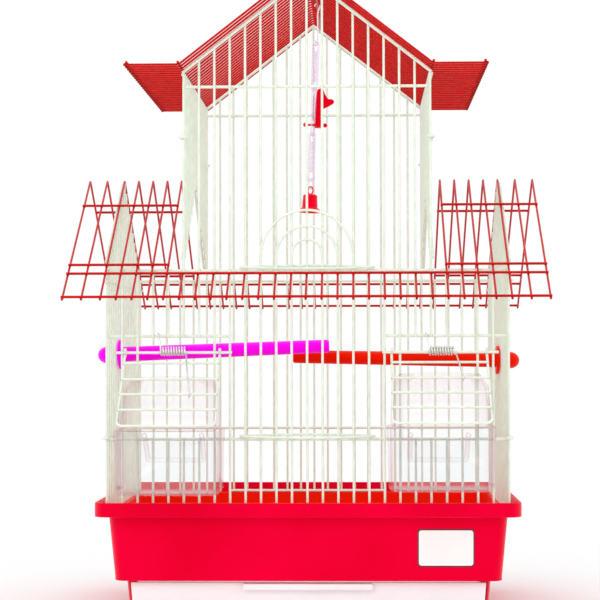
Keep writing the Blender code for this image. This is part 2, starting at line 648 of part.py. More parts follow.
def drawer():
    """The pull-out drawer: a tub that follows the plinth, and a front plate with a finger lip."""
    low_z = BASE_WALL + FIT
    tub_z = DRAWER_TOP_Z - LIP_NOTCH - FIT
    front = -PLINTH_TOP_HALF[1] - FIT
    back = PLINTH_LOW_HALF[1] - BASE_WALL - DRAWER_GAP
    middle, half_length = (back + front - JOIN) / 2, (back - front + JOIN) / 2
    corner = CORNER_R - BASE_WALL
    bm = bmesh.new()
    rings = []
    for z, wall in ((low_z, 0), (tub_z, 0), (tub_z, DRAWER_WALL), (low_z + DRAWER_WALL, DRAWER_WALL)):
        half = shrink((drawer_half(z), half_length), wall)
        rings.append(corner_ring(bm, half, corner - wall, z, middle))
    bridge(bm, rings)
    made = place("drawer", bm, WHITE_PLASTIC, smooth=False)
    plate = bmesh.new()
    foot, shoulder = (drawer_half(z) + PLATE_MARGIN for z in (PLATE_FOOT_Z, DRAWER_TOP_Z))
    right = [
        (foot, PLATE_FOOT_Z),
        (shoulder, DRAWER_TOP_Z),
        (LIP_HALF, DRAWER_TOP_Z),
        (LIP_HALF, DRAWER_TOP_Z - LIP_NOTCH),
    ]
    section = right + [(-x, z) for x, z in reversed(right)]
    bridge(plate, [[plate.verts.new((x, y, z)) for x, z in section] for y in (front - PLATE_THICK, front)])
    combine(made, plate, "UNION", "front_plate")
    lip = bmesh.new()
    lip_top = DRAWER_TOP_Z - LIP_NOTCH - FIT
    low = (-LIP_HALF + FIT, front - PLATE_THICK - LIP_DEPTH, lip_top - LIP_HEIGHT)
    block(lip, low, (LIP_HALF - FIT, front - JOIN, lip_top))
    return combine(made, lip, "UNION", "finger_lip")


def main_door():
    """The door that slides up the front: arched wires on two flat loops that wrap round the bars."""
    leg_y = BAR_FACE_Y - 2 * FIT - BAR_R
    loop_front = leg_y - 2 * BAR_R + WELD
    loop_back = FRONT_Y + BAR_R + FIT + BAR_R
    bars, crosses = bmesh.new(), bmesh.new()
    low_z = LOW_CROSS_Z + CROSS_R + FIT + BAR_R
    high_z = EAVE_CROSS_Z + CROSS_R + FIT + BAR_R
    foot_z = low_z - 2 * BAR_R
    for n, rise in enumerate(ARCH_RISES, start=1):
        radius = n * ARCH_GAP
        crown = arc((0, leg_y, EAVE_CROSS_Z + rise - radius), X_AXIS, Z_AXIS, radius, 0, 180, ARCH_STEPS)
        legs = [(radius, leg_y, foot_z), *crown, (-radius, leg_y, foot_z)]
        wire(bars, legs, BAR_R, Y_AXIS)
    wire(bars, [(0, leg_y, foot_z), (0, leg_y, high_z + BAR_R)], BAR_R, Y_AXIS)
    middle = (loop_front + loop_back) / 2
    bend = (loop_back - loop_front) / 2
    straight = DOOR_LOOP_HALF - bend
    for z in (low_z, high_z):
        loop = []
        for side in (1, -1):
            along = X_AXIS * side
            for share in LOOP_SHARES:
                sag = LOOP_SAG * (1 - share * share)
                y = loop_front if side == 1 else loop_back
                loop.append(Vector((side * share * straight, y, z - side * sag)))
            end = Vector((side * straight, middle, z))
            loop += arc(end, -Y_AXIS * side, along, bend, 0, 180, 3)
        wire(crosses, loop, BAR_R, Z_AXIS, closed=True)
    return wire_wall("main_door", bars, crosses)


def flap_axes(side_name):
    """The directions down along a closed flap and square to it, outward."""
    angle = FLAP_ANGLES[side_name]
    down = Vector((0, -math.cos(angle), -math.sin(angle)))
    outward = Vector((0, -math.sin(angle), math.cos(angle)))
    return down, outward


def feeder_flap(side_name):
    """A sprung wire flap, modelled about its hinge wire: a U frame with eyelets and cross wires."""
    down, outward = flap_axes(side_name)
    frame, rungs = bmesh.new(), bmesh.new()
    corner, length = FLAP_CORNER, FLAP_LENGTH
    turn = arc(X_AXIS * (FLAP_HALF - corner) + down * (length - corner), down, X_AXIS, corner, 0, 90, 3)
    right = [*turn, X_AXIS * FLAP_HALF + down * EYELET_R]
    left = [Vector((-p.x, p.y, p.z)) for p in reversed(right)]
    wire(frame, [*left, *right], BAR_R, outward)
    rung_offset = outward * (2 * BAR_R - WELD)
    for s in FLAP_RUNGS:
        ends = [X_AXIS * x + down * s + rung_offset for x in (-FLAP_HALF, FLAP_HALF)]
        wire(rungs, ends, BAR_R, outward)
    for s in (-1, 1):
        eyelet = arc(X_AXIS * s * FLAP_HALF, Y_AXIS, Z_AXIS, EYELET_R, 0, EYELET_TURN, 5)
        wire(rungs, eyelet, BAR_R, X_AXIS, closed=True)
    made = wire_wall(f"{side_name}_feeder_flap", frame, rungs)
    shift = Vector((FEEDER_X[side_name], HINGE_Y, HINGE_Z))
    for piece in (made, made.modifiers[0].object):
        piece.location = shift
    return made


def flap_spring(side_name):
    """A torsion spring on the hinge wire, hooked over the cross wire above and over the flap below."""
    name = f"{side_name}_flap_spring"
    down, outward = flap_axes(side_name)
    start = SPRING_START[side_name]
    rise = SPRING_R - SPRING_WIRE_R - HINGE_R - FIT
    centre = Vector((0, HINGE_Y, HINGE_Z + rise))
    upper_centre = Vector((start - SPRING_UPPER_LEAN, FRONT_CROSS_Y, FEEDER_TOP_Z))
    hook_r = CROSS_R + SPRING_WIRE_R + SPRING_CLEAR
    points = arc(upper_centre, Y_AXIS, Z_AXIS, hook_r, 20, 180, 5)
    points.append(Vector((start, HINGE_Y - SPRING_R, HINGE_Z + SPRING_RISER)))
    coil = []
    steps = SPRING_TURNS * SPRING_POINTS
    for k in range(steps + 1):
        angle = math.pi + 2 * math.pi * k / SPRING_POINTS
        x = start + SPRING_PITCH * k / SPRING_POINTS
        spoke = Vector((0, math.cos(angle), math.sin(angle))) * SPRING_R
        coil.append(centre + spoke + X_AXIS * x)
    points += coil
    hinge = Vector((coil[-1].x + SPRING_WIRE_R, HINGE_Y, HINGE_Z))
    rung = FLAP_RUNGS[SPRING_RUNG[side_name]]
    rest = BAR_R + SPRING_WIRE_R + SPRING_CLEAR
    above = 2 * BAR_R - WELD + rest
    lean = X_AXIS * SPRING_LEAN
    first = FLAP_RUNGS[0] / 2
    points.append(coil[-1] + X_AXIS * SPRING_WIRE_R - Z_AXIS * SPRING_FALL)
    points.append(hinge + down * first + outward * (above + FIT) + lean * first / rung)
    rung_centre = hinge + lean + down * rung + outward * (2 * BAR_R - WELD)
    points += arc(rung_centre, outward, down, rest, 0, 150, 4)
    curve = bpy.data.curves.new(name, "CURVE")
    curve.dimensions = "3D"
    curve.bevel_depth = SPRING_WIRE_R
    curve.bevel_resolution = 1
    curve.use_fill_caps = True
    spline = curve.splines.new("POLY")
    spline.points.add(len(points) - 1)
    for slot, point in zip(spline.points, points):
        slot.co = (*point, 1)
    curve.materials.append(STEEL)
    made = bpy.data.objects.new(name, curve)
    bpy.context.scene.collection.objects.link(made)
    print(f"{name}: least gap to itself {least_gap(points, SPRING_WIRE_R) / MM:.2f} mm")
    return made


def least_gap(points, radius):
    """The least gap between stretches of a tube that are not neighbours along it."""
    gap = math.inf
    reach = SPRING_POINTS // 2
    for i, first in enumerate(points):
        for second in points[i + reach :]:
            gap = min(gap, (first - second).length)
    return gap - 2 * radius


def cup_ring(bm, x, half, depth, corner, z):
    """A ring round a feeder cup: straight at the back, with two rounded corners at the front."""
    back = CUP_BACK_Y
    front = back - depth
    points = [Vector((half, back, z)), Vector((-half, back, z))]
    steps = CUP_CORNER_STEPS
    points += arc((-half + corner, front + corner, z), -X_AXIS, -Y_AXIS, corner, 0, 90, steps)
    points += arc((half - corner, front + corner, z), -Y_AXIS, X_AXIS, corner, 0, 90, steps)
    return [bm.verts.new(p + X_AXIS * x) for p in points]


def cup_top(side_name):
    return LOW_CROSS_Z + CUP_RISE - CUP_DROP[side_name]


def feeder_cup(side_name):
    """A clear cup hung outside the wall, with a thicker band round its mouth and a low back."""
    top = cup_top(side_name)
    foot = top - CUP_HEIGHT
    x = FEEDER_X[side_name]
    band, wall, corner = CUP_HALF, CUP_WALL, CUP_CORNER
    body_half, body_depth = band - CUP_STEP, CUP_DEPTH - CUP_STEP
    foot_half, foot_depth, low_corner = (v - CUP_CHAMFER for v in (CUP_FOOT_HALF, CUP_FOOT_DEPTH, corner))
    bm = bmesh.new()
    inner_half, inner_depth = body_half - wall, body_depth - wall
    bridge(
        bm,
        [
            cup_ring(bm, x, foot_half, foot_depth, low_corner, foot),
            cup_ring(bm, x, CUP_FOOT_HALF, CUP_FOOT_DEPTH, corner, foot + CUP_CHAMFER),
            cup_ring(bm, x, body_half, body_depth, corner, top - CUP_BAND),
            cup_ring(bm, x, band, CUP_DEPTH, corner, top - CUP_BAND + FIT),
            cup_ring(bm, x, band, CUP_DEPTH, corner, top),
        ],
    )
    made = place(f"{side_name}_feeder_cup", bm, CLEAR_PLASTIC, smooth=False)
    hollow = bmesh.new()
    rings = [
        cup_ring(hollow, x, CUP_FOOT_HALF - wall, CUP_FOOT_DEPTH - wall, corner - wall, foot + wall),
        cup_ring(hollow, x, inner_half, inner_depth, corner - wall, top + MM),
    ]
    for ring in rings:
        for vertex in ring:
            if vertex.co.y > CUP_BACK_Y - FIT:
                vertex.co.y = CUP_BACK_Y - wall
    bridge(hollow, rings)
    combine(made, hollow, "DIFFERENCE", "hollow")
    notch = bmesh.new()
    notch_half = RAIL_HALF + NOTCH_MARGIN
    notch_z = RAIL_Z - RAIL_R / math.sqrt(2) - FIT
    low = (x - notch_half, CUP_BACK_Y - 2 * wall, notch_z)
    high = (x + notch_half, CUP_BACK_Y + 2 * wall, top + MM)
    block(notch, low, high)
    return combine(made, notch, "DIFFERENCE", "notch")


def feeder_hood(side_name):
    """The clear hood that stands on the cup under the flap, open to the cage at its back."""
    base_z = cup_top(side_name) + FIT
    x = FEEDER_X[side_name]
    angle = FLAP_ANGLES[side_name]
    clear = (2 * BAR_R + FIT) / math.cos(angle)

    def front_at(z):
        return HINGE_Y - (HINGE_Z - z - clear) / math.tan(angle)

    def rings(bm, inset, reach):
        made = []
        shares = (0, HOOD_FOOT_SHARE, HOOD_SHOULDER_SHARE, 1)
        halves = (HOOD_HALF, HOOD_HALF, HOOD_SHOULDER_HALF, HOOD_TOP_HALF)
        for share, half in zip(shares, halves):
            z = base_z + share * (HOOD_HEIGHT - inset)
            depth = min(CUP_BACK_Y - front_at(z), CUP_DEPTH - HOOD_SETBACK) - inset
            z = base_z - reach if share == 0 else z
            corner = min(CUP_CORNER, depth - MM) - inset
            ring = cup_ring(bm, x, half - inset, depth, corner, z)
            for vertex in ring:
                if vertex.co.y > CUP_BACK_Y - FIT:
                    vertex.co.y += reach
            made.append(ring)
        return made

    bm = bmesh.new()
    bridge(bm, rings(bm, 0, 0))
    made = place(f"{side_name}_feeder_hood", bm, CLEAR_PLASTIC, smooth=False)
    hollow = bmesh.new()
    bridge(hollow, rings(hollow, CUP_WALL, JOIN))
    return combine(made, hollow, "DIFFERENCE", "hollow")


def feeder_rail(side_name):
    """The clear perch rail: its legs hook over the cup's back and the cross wire and drop inside."""
    z = RAIL_Z
    x = FEEDER_X[side_name]
    start_y = CUP_BACK_Y - CUP_WALL - RAIL_HOOK
    over_y = FRONT_CROSS_Y + RAIL_HOOK
    end_y = FRONT_CROSS_Y + RAIL_REACH
    leg = [
        Vector((x + RAIL_HALF, start_y, z)),
        Vector((x + RAIL_HALF, over_y, z)),
        Vector((x + RAIL_HALF, end_y, z - RAIL_DROP)),
    ]
    other = [Vector((2 * x - p.x, p.y, p.z)) for p in reversed(leg)]
    bm = bmesh.new()
    wire(bm, [*leg, *other], RAIL_R, Z_AXIS, turn=math.pi / 4)
    return place(f"{side_name}_feeder_rail", bm, CLEAR_PLASTIC, smooth=False)


def perch(side_name, material):
    """A perch rod with its flange and the stud that passes between two bars."""
    sizes, side = PERCHES[side_name], SIDES[side_name]
    bm = bmesh.new()
    lean = math.atan2(sizes["rise"], sizes["length"])
    slack = sizes["flange"] * math.tan(lean)
    profile = [
        (0, -STUD_LENGTH),
        (STUD_R, -STUD_LENGTH),
        (STUD_R, 0),
        (sizes["flange"], 0),
        (sizes["flange"], FLANGE_THICK),
        (PERCH_R, FLANGE_THICK),
        (PERCH_TIP_R, sizes["length"] - TIP_CHAMFER),
        (PERCH_TIP_R - TIP_CHAMFER, sizes["length"]),
        (0, sizes["length"]),
    ]
    turned(bm, profile, TURNED_SIDES)
    x = side * (HALF_WIDTH - BAR_R - FIT - slack)
    y = -HALF_DEPTH + (sizes["gap"] + 0.5) * SIDE_PITCH
    rotation = (0, -side * (math.pi / 2 - lean), 0)
    z = LEDGE_Z + sizes["height"]
    return place(f"{side_name}_perch", bm, material, location=(x, y, z), rotation=rotation)


def perch_knob(side_name, material):
    """The domed knob outside the wall that the perch's stud is screwed into."""
    sizes, side = PERCHES[side_name], SIDES[side_name]
    lean = math.atan2(sizes["rise"], sizes["length"])
    slack = sizes["flange"] * math.tan(lean)
    bore = STUD_R + FIT
    profile = [(0, STUD_LENGTH), (bore, STUD_LENGTH), (bore, 0), (KNOB_R, 0)]
    profile += [(across * KNOB_R, along * KNOB_LENGTH) for across, along in KNOB_DOME]
    profile.append((0, KNOB_LENGTH))
    bm = bmesh.new()
    turned(bm, profile, TURNED_SIDES)
    back_off = 2 * (BAR_R + FIT + slack)
    x = side * (HALF_WIDTH - BAR_R - FIT - slack + back_off * math.cos(lean))
    y = -HALF_DEPTH + (sizes["gap"] + 0.5) * SIDE_PITCH
    z = LEDGE_Z + sizes["height"] - back_off * math.sin(lean)
    rotation = (0, side * (math.pi / 2 + lean), 0)
    return place(f"{side_name}_perch_knob", bm, material, location=(x, y, z), rotation=rotation)


# The toy hangs as a chain, each piece modelled down from its own pivot.
TOY_Y = -TOP_LENGTH / TOP_COUNT / 2
TOY_TOP = Vector((TOY_WIRE_X, TOY_Y, TOY_WIRE_Z))
TOY_DOWN = Vector((-math.sin(TOY_TILT), 0, -math.cos(TOY_TILT)))
HOOK_LIFT = STRINGER_R + FIT + TOY_HOOK_R


def toy_place(distance, turn):
    """Location and rotation of a chain piece at a distance down from the wire that the toy hangs on."""
    return {"location": TOY_TOP + TOY_DOWN * distance, "rotation": (0, TOY_TILT, math.radians(turn))}


def toy_hook():
    """A thin wire hook over the roof wire, turned below so that it carries the first link."""
    bm = bmesh.new()
    top = arc((0, 0, 0), X_AXIS, Z_AXIS, HOOK_LIFT, *HOOK_ARC, 6)
    facing = Matrix.Rotation(math.radians(LINK_TURNS[0] + 90), 3, "Z") @ X_AXIS
    loop_r = LINK_R + TOY_FIT + TOY_HOOK_R + HOOK_LOOP_SLACK
    bottom = arc((0, 0, -TOY_HOOK_LENGTH + loop_r), facing, -Z_AXIS, loop_r, 0, HOOK_LOOP_ARC, 6)
    shank = [Vector((0, 0, -HOOK_NECK)), facing * loop_r - Z_AXIS * (TOY_HOOK_LENGTH - HOOK_NECK)]
    wire(bm, [*top, *shank, *bottom], TOY_HOOK_R, Y_AXIS, sides=6)
    return place("toy_hook", bm, WHITE_PLASTIC, **toy_place(0, 0))


def ring_points(half, length, lift):
    """A long ring in the XZ plane that starts a little above its pivot and hangs down."""
    top = arc((0, 0, lift - half), X_AXIS, Z_AXIS, half, 0, 180, 4)
    bottom = arc((0, 0, lift - length + half), X_AXIS, Z_AXIS, half, 180, 360, 4)
    return [*top, *bottom]


def toy_link(number):
    """One long chain link with a thin web between its two eyes, hung on the piece above it."""
    bm = bmesh.new()
    lift = LINK_R + TOY_FIT + (TOY_HOOK_R if number == 1 else LINK_R)
    length = LINK_LENGTH - 2 * LINK_R
    wire(bm, ring_points(LINK_HALF, length, lift), LINK_R, Y_AXIS, closed=True, sides=6)
    spot = toy_place(link_pivot(number), LINK_TURNS[number - 1])
    made = place(f"toy_link_{number}", bm, LILAC_PLASTIC, **spot)
    low_eye = PIN_UP + LINK_EYE / 2 if number == PIN_LINK else LINK_EYE
    web = bmesh.new()
    low = (-LINK_HALF, -WEB_THICK / 2, lift - length + low_eye)
    block(web, low, (LINK_HALF, WEB_THICK / 2, lift - LINK_EYE))
    return combine(made, web, "UNION", "web")


def link_pivot(number):
    """How far down each chain pivot lies: the hook's loop for link 1, then each link's lower bend."""
    first = TOY_HOOK_LENGTH - TOY_HOOK_R
    second = first + (LINK_LENGTH - 2 * LINK_R) - (LINK_R + TOY_FIT + TOY_HOOK_R)
    step = (LINK_LENGTH - 2 * LINK_R) - (2 * LINK_R + TOY_FIT)
    return (first, second, second + step, second + 2 * step)[number - 1]


def toy_bird():
    """A flat moulded parrot that stands behind the second link and is held by the pin through it."""
    spot = toy_place(link_pivot(3) - PIN_UP, 0)
    back = LINK_HALF * math.sin(math.radians(LINK_TURNS[1])) + LINK_R + FIT
    bm = bmesh.new()
    bridge(
        bm,
        [
            [bm.verts.new((x * MM, y, z * MM)) for x, z in BIRD_OUTLINE]
            for y in (back, back + BIRD_THICK)
        ],
    )
    made = place("toy_bird", bm, SCARLET_PLASTIC, smooth=False, **spot)
    foot = bmesh.new()
    reach = PIN_R + FOOT_MARGIN
    block(foot, (FOOT_LEFT, -reach, -reach), (FOOT_RIGHT, back + BIRD_THICK / 2, reach))
    combine(made, foot, "UNION", "foot")
    bore = bmesh.new()
    wire(bore, [(0, 0, 0), (PIN_RIGHT, 0, 0)], PIN_R + FIT, Z_AXIS, sides=8)
    return combine(made, bore, "DIFFERENCE", "pin_bore")


def toy_pin():
    """The pin with ball ends that passes through the second link and the bird's foot."""
    bm = bmesh.new()
    wire(bm, [(PIN_LEFT, 0, 0), (PIN_RIGHT, 0, 0)], PIN_R, Z_AXIS, sides=8)
    made = place("toy_pin", bm, SCARLET_PLASTIC, **toy_place(link_pivot(3) - PIN_UP, 0))
    for label, x in (("left_ball", PIN_LEFT - FIT), ("right_ball", PIN_RIGHT + FIT)):
        end = bmesh.new()
        ball(end, (x, 0, 0), 2 * PIN_R)
        combine(made, end, "UNION", label)
    return made


def bell_ring():
    """The small ring that joins the last link to the bell."""
    bm = bmesh.new()
    lift = LINK_R + TOY_FIT + RING_WIRE_R
    wire(bm, ring_points(RING_R, RING_LENGTH, lift), RING_WIRE_R, Y_AXIS, closed=True, sides=6)
    return place("bell_ring", bm, LILAC_PLASTIC, **toy_place(link_pivot(4), LINK_TURNS[1]))


def bell_pivot():
    """How far down the bell's pivot, the ring's lower bend, lies."""
    return link_pivot(4) + RING_LENGTH - (LINK_R + TOY_FIT + RING_WIRE_R)


def bell():
    """The bell, hollow from below, with an eyelet on its crown."""
    bm = bmesh.new()
    top = -BELL_CROWN
    low = top - BELL_HEIGHT
    inner = top - BELL_CROWN_THICK
    profile = [
        (0, top),
        (BELL_WAIST - 2 * BELL_WALL, top),
        (BELL_WAIST - BELL_WALL / 2, top - BELL_WALL),
        (BELL_WAIST, low + BELL_FLARE),
        (BELL_R, low + BELL_LIP),
        (BELL_R, low),
        (BELL_R - BELL_WALL, low),
        (BELL_WAIST - BELL_WALL / 2, low + BELL_LIP),
        (BELL_WAIST - BELL_WALL, low + BELL_FLARE),
        (BELL_WAIST - 2 * BELL_WALL, inner),
        (0, inner),
    ]
    turned(bm, profile, TURNED_SIDES)
    made = place("bell", bm, SCARLET_PLASTIC, **toy_place(bell_pivot(), LINK_TURNS[0]))
    eyelet = bmesh.new()
    lift = 2 * RING_WIRE_R + TOY_FIT
    wire(eyelet, ring_points(EYE_HALF, EYE_LENGTH, lift), RING_WIRE_R, Y_AXIS, closed=True, sides=6)
    return combine(made, eyelet, "UNION", "eyelet")


def bell_clapper():
    """The clapper, a small ball on a stem that hangs from the inside of the crown."""
    bm = bmesh.new()
    profile = [(r * MM, -depth * MM) for r, depth in CLAPPER_PROFILE]
    turned(bm, profile, 8)
    distance = bell_pivot() + BELL_CROWN + BELL_CROWN_THICK + FIT
    return place("bell_clapper", bm, SCARLET_PLASTIC, **toy_place(distance, 0))


end_wall("front_panel", 1)
end_wall("back_panel", -1)
side_wall("left_wall", -1)
side_wall("right_wall", 1)
tower_wall("tower_left_wall", -1)
tower_wall("tower_right_wall", 1)
lower_roof()
top_roof()
base()
drawer()
main_door()
for feeder_side in SIDES:
    feeder_flap(feeder_side)
    flap_spring(feeder_side)
    feeder_cup(feeder_side)
    feeder_hood(feeder_side)
    feeder_rail(feeder_side)
for perch_side, plastic in (("left", MAGENTA_PLASTIC), ("right", SCARLET_PLASTIC)):
    perch(perch_side, plastic)
    perch_knob(perch_side, plastic)
toy_hook()
for link_number in (1, 2, 3):
    toy_link(link_number)
toy_bird()
toy_pin()
bell_ring()
bell()
bell_clapper()
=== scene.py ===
"""Looks of a small house-shaped wire bird cage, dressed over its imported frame.

The sections follow the cage as it is put together: base, drawer, wire walls, roofs, door, feeders,
perches and toy, and then the floor, the lights and the camera. Sizes are in metres."""

import math

import bmesh
import bpy
from mathutils import Euler, Matrix, Vector


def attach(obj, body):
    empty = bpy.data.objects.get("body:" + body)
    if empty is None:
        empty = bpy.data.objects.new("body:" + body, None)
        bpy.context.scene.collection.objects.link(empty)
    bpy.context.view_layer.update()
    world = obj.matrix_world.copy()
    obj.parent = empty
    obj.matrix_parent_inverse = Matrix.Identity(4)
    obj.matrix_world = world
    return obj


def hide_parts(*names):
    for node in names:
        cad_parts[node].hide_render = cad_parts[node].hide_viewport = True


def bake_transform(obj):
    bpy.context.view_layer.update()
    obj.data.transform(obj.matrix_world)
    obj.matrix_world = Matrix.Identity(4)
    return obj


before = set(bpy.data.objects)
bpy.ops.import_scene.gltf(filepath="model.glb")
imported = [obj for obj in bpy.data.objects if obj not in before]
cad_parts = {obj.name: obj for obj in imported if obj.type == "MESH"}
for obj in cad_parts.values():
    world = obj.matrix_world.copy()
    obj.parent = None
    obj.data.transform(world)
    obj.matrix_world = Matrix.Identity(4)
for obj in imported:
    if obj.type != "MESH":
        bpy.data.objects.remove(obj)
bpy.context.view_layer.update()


# The base is one red polypropylene moulding, glossy outside from the polished mould and matt
# inside. The wire walls stand on the ledge inside its rim, and the plinth below the tray is open
# at the front for the drawer.
MM = 0.001
FIT = 0.3 * MM
X_AXIS, Y_AXIS, Z_AXIS = Vector((1, 0, 0)), Vector((0, 1, 0)), Vector((0, 0, 1))
SIDES = {"left": -1, "right": 1}
BASE_WALL = 2.2 * MM
RIM_HALF = (159.3 * MM, 123 * MM)
RIM_TOP_Z = 88 * MM
RIM_LOW_Z = 77 * MM
LEDGE_Z = 80 * MM
TRAY_TOP_HALF = (149.4 * MM, 113.2 * MM)
TRAY_LOW_HALF = (145.3 * MM, 109.2 * MM)
TRAY_LOW_Z = 31.7 * MM
PLINTH_TOP_HALF = (137.2 * MM, 101 * MM)
PLINTH_LOW_HALF = (134.9 * MM, 96 * MM)
PLINTH_TOP_Z = 28.5 * MM
CORNER_R = 8 * MM
CORNER_STEPS = 8
FOOT_INSET = 2 * MM
MOUTH_DEPTH = 12 * MM
BASE_EDGE = 1.1 * MM
SKIN = 0.2 * MM
FACES_UP = 0.5
EDGE_ANGLE = math.radians(38)


def linear(colour):
    """Turns a hex sRGB colour into the linear values that a shader takes."""
    channels = [int(colour[i : i + 2], 16) / 255 for i in (1, 3, 5)]
    return (*(c / 12.92 if c <= 0.04045 else ((c + 0.055) / 1.055) ** 2.4 for c in channels), 1)


def feed(node, sockets):
    """Gives each socket of a node, by name or number, its value or its link."""
    for name, value in sockets.items():
        if isinstance(value, bpy.types.NodeSocket):
            node.id_data.links.new(value, node.inputs[name])
        else:
            node.inputs[name].default_value = value


def add(tree, kind, sockets=None, output=0, **settings):
    """Adds a node with its settings and its sockets' values and links, and gives one output."""
    node = tree.nodes.new(kind)
    for name, value in settings.items():
        setattr(node, name, value)
    feed(node, sockets or {})
    return node.outputs[output] if node.outputs else node


def fresh(name):
    """A new material, its tree and its shader."""
    made = bpy.data.materials.new(name)
    made.use_nodes = True
    return made, made.node_tree, made.node_tree.nodes["Principled BSDF"]


def moulded(
    name, colour, flow_and_painted_reflection_colour, roughness, grain, relief, flow=45 * MM, ior=1.49, gleam="#ffffff"
):
    """Injection-moulded plastic: the colour drifts along the flow of the melt, and the skin has a
    fine grain that varies its gloss. On the polished red base the drift is a painted reflection
    of the room instead. 'grain' and 'flow' are the sizes of these patterns."""
    made, tree, shader = fresh(name)
    place = add(tree, "ShaderNodeTexCoord", output="Object")
    melt = add(tree, "ShaderNodeTexNoise", {"Vector": place, "Scale": 1 / flow, "Detail": 1.5})
    share = add(tree, "ShaderNodeMapRange", {"Value": melt, "From Min": 0.3, "From Max": 0.7})
    colours = {0: share, 6: linear(colour), 7: linear(flow_and_painted_reflection_colour)}
    tint = add(tree, "ShaderNodeMix", colours, 2, data_type="RGBA")
    skin = add(tree, "ShaderNodeTexNoise", {"Vector": place, "Scale": 1 / grain, "Detail": 3})
    span = {"Value": skin, "To Min": 0.8 * roughness, "To Max": 1.25 * roughness}
    gloss = add(tree, "ShaderNodeMapRange", span)
    bump = add(tree, "ShaderNodeBump", {"Height": skin, "Strength": 0.25, "Distance": relief})
    feed(shader, {"Base Color": tint, "Roughness": gloss, "Normal": bump})
    feed(shader, {"IOR": ior, "Specular Tint": linear(gleam)})
    return made


def placed(name, data):
    """Puts a mesh, a lamp or a camera into the scene as an object."""
    made = bpy.data.objects.new(name, data)
    bpy.context.scene.collection.objects.link(made)
    return made


def shade(made):
    """Shades an object smooth but for its sharp edges."""
    made.data.shade_smooth()
    made.data.set_sharp_from_angle(angle=EDGE_ANGLE)
    return made


def thing(name, bm, *materials, smooth=True):
    """Turns a bmesh into an object with its materials."""
    mesh = bpy.data.meshes.new(name)
    bm.to_mesh(mesh)
    bm.free()
    for material in materials:
        mesh.materials.append(material)
    made = placed(name, mesh)
    return shade(made) if smooth else made


def settle(made):
    """Applies an object's modifiers, so that a plain mesh is left."""
    graph = bpy.context.evaluated_depsgraph_get()
    mesh = bpy.data.meshes.new_from_object(made.evaluated_get(graph), depsgraph=graph)
    made.modifiers.clear()
    made.data = mesh
    mesh.name = made.name
    return made


def carve(made, bm, operation="DIFFERENCE"):
    """Cuts the bmesh's solid from an object, or joins it to it."""
    helper = thing(f"{made.name}_helper", bm)
    modifier = made.modifiers.new("carve", "BOOLEAN")
    modifier.operation = operation
    modifier.object = helper
    settle(made)
    bpy.data.objects.remove(helper)


def stands_for(made, body, slot, *nodes):
    """Lets a piece ride a body in place of its CAD nodes. 'slot' is not used."""
    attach(made, body)
    if nodes:
        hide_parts(*nodes)


def rounded(points, reach, steps=3):
    """The points with each inner corner turned into a short curve that starts 'reach' before it."""
    points = [Vector(p) for p in points]
    made = [points[0]]
    for before, corner, after in zip(points, points[1:], points[2:]):
        back, on = before - corner, after - corner
        start = corner + back * min(0.45, reach / back.length)
        end = corner + on * min(0.45, reach / on.length)
        for k in range(steps + 1):
            t = k / steps
            made.append((1 - t) ** 2 * start + 2 * t * (1 - t) * corner + t * t * end)
    made.append(points[-1])
    return made


def arc(centre, first, second, radius, start, end, steps):
    """Points on an arc in the plane of two directions, from one angle to another in degrees."""
    made = []
    for k in range(steps + 1):
        angle = math.radians(start + (end - start) * k / steps)
        made.append(Vector(centre) + radius * (math.cos(angle) * first + math.sin(angle) * second))
    return made


def oblong(half, radius, steps, centre=(0, 0, 0)):
    """Points round a flat rectangle with rounded corners, from its half sizes."""
    made = []
    for quarter, (sx, sy) in enumerate(((1, 1), (-1, 1), (-1, -1), (1, -1))):
        middle = Vector((sx * (half[0] - radius), sy * (half[1] - radius), 0)) + Vector(centre)
        start = 90 * quarter
        made += arc(middle, X_AXIS, Y_AXIS, radius, start, start + 90, steps)
    return made


def ringed(bm, outlines, closed=True):
    """Adds a row of vertices for each outline and joins the rows. Gives the rows."""
    rows = [[bm.verts.new(p) for p in outline] for outline in outlines]
    for first, second in zip(rows, rows[1:]):
        for i in range(len(first) if closed else len(first) - 1):
            j = (i + 1) % len(first)
            bm.faces.new((first[i], first[j], second[j], second[i]))
    return rows


def lofted(outlines):
    """A bmesh of a solid through outlines that have as many points each, with flat ends."""
    made = bmesh.new()
    rows = ringed(made, outlines)
    made.faces.new(reversed(rows[0]))
    made.faces.new(rows[-1])
    bmesh.ops.recalc_face_normals(made, faces=made.faces)
    return made


def slab(section, y_from, y_to):
    """A bmesh of an XZ outline drawn out along Y."""
    return lofted([[(x, y, z) for x, z in section] for y in (y_from, y_to)])


def level(half, inset, z, radius=CORNER_R):
    """A base or drawer outline as one vector: its half sizes, its height and its corner radius."""
    return Vector((half[0] - inset, half[1] - inset, z, radius - inset))


def moulding(levels, edge, middle_y=0.0):
    """A bmesh that follows such outlines up and down its walls, with its edges rounded."""
    steps = rounded(levels, edge)
    return lofted([oblong(p, p[3], CORNER_STEPS, (0, middle_y, p[2])) for p in steps])


def mouth_half(z):
    """Half the width between the sloping walls of the plinth at a height."""
    share = z / PLINTH_TOP_Z
    return PLINTH_LOW_HALF[0] + share * (PLINTH_TOP_HALF[0] - PLINTH_LOW_HALF[0]) - BASE_WALL


# Glossy injection-moulded polypropylene that mirrors the room softly. Its wavy drift between
# pink and a deeper red is a painted reflection of the room.
GLOSS_RED = moulded(
    "polished red polypropylene", "#ef0038", "#e4002c", 0.2, 0.8 * MM, 0.02 * MM, 60 * MM,
    gleam="#ff2a48",
)
# The core side of the same moulding, sandblasted and so matt. Its more orange colour is painted
# shade, and light glowing through the thin red wall, on the inner and upward faces
SHADE_TINTED_MATT_RED = moulded(
    "matt red polypropylene, inner face", "#f41008", "#ea1a06", 0.5, 0.6 * MM, 0.05 * MM,
    gleam="#ff4a20",
)

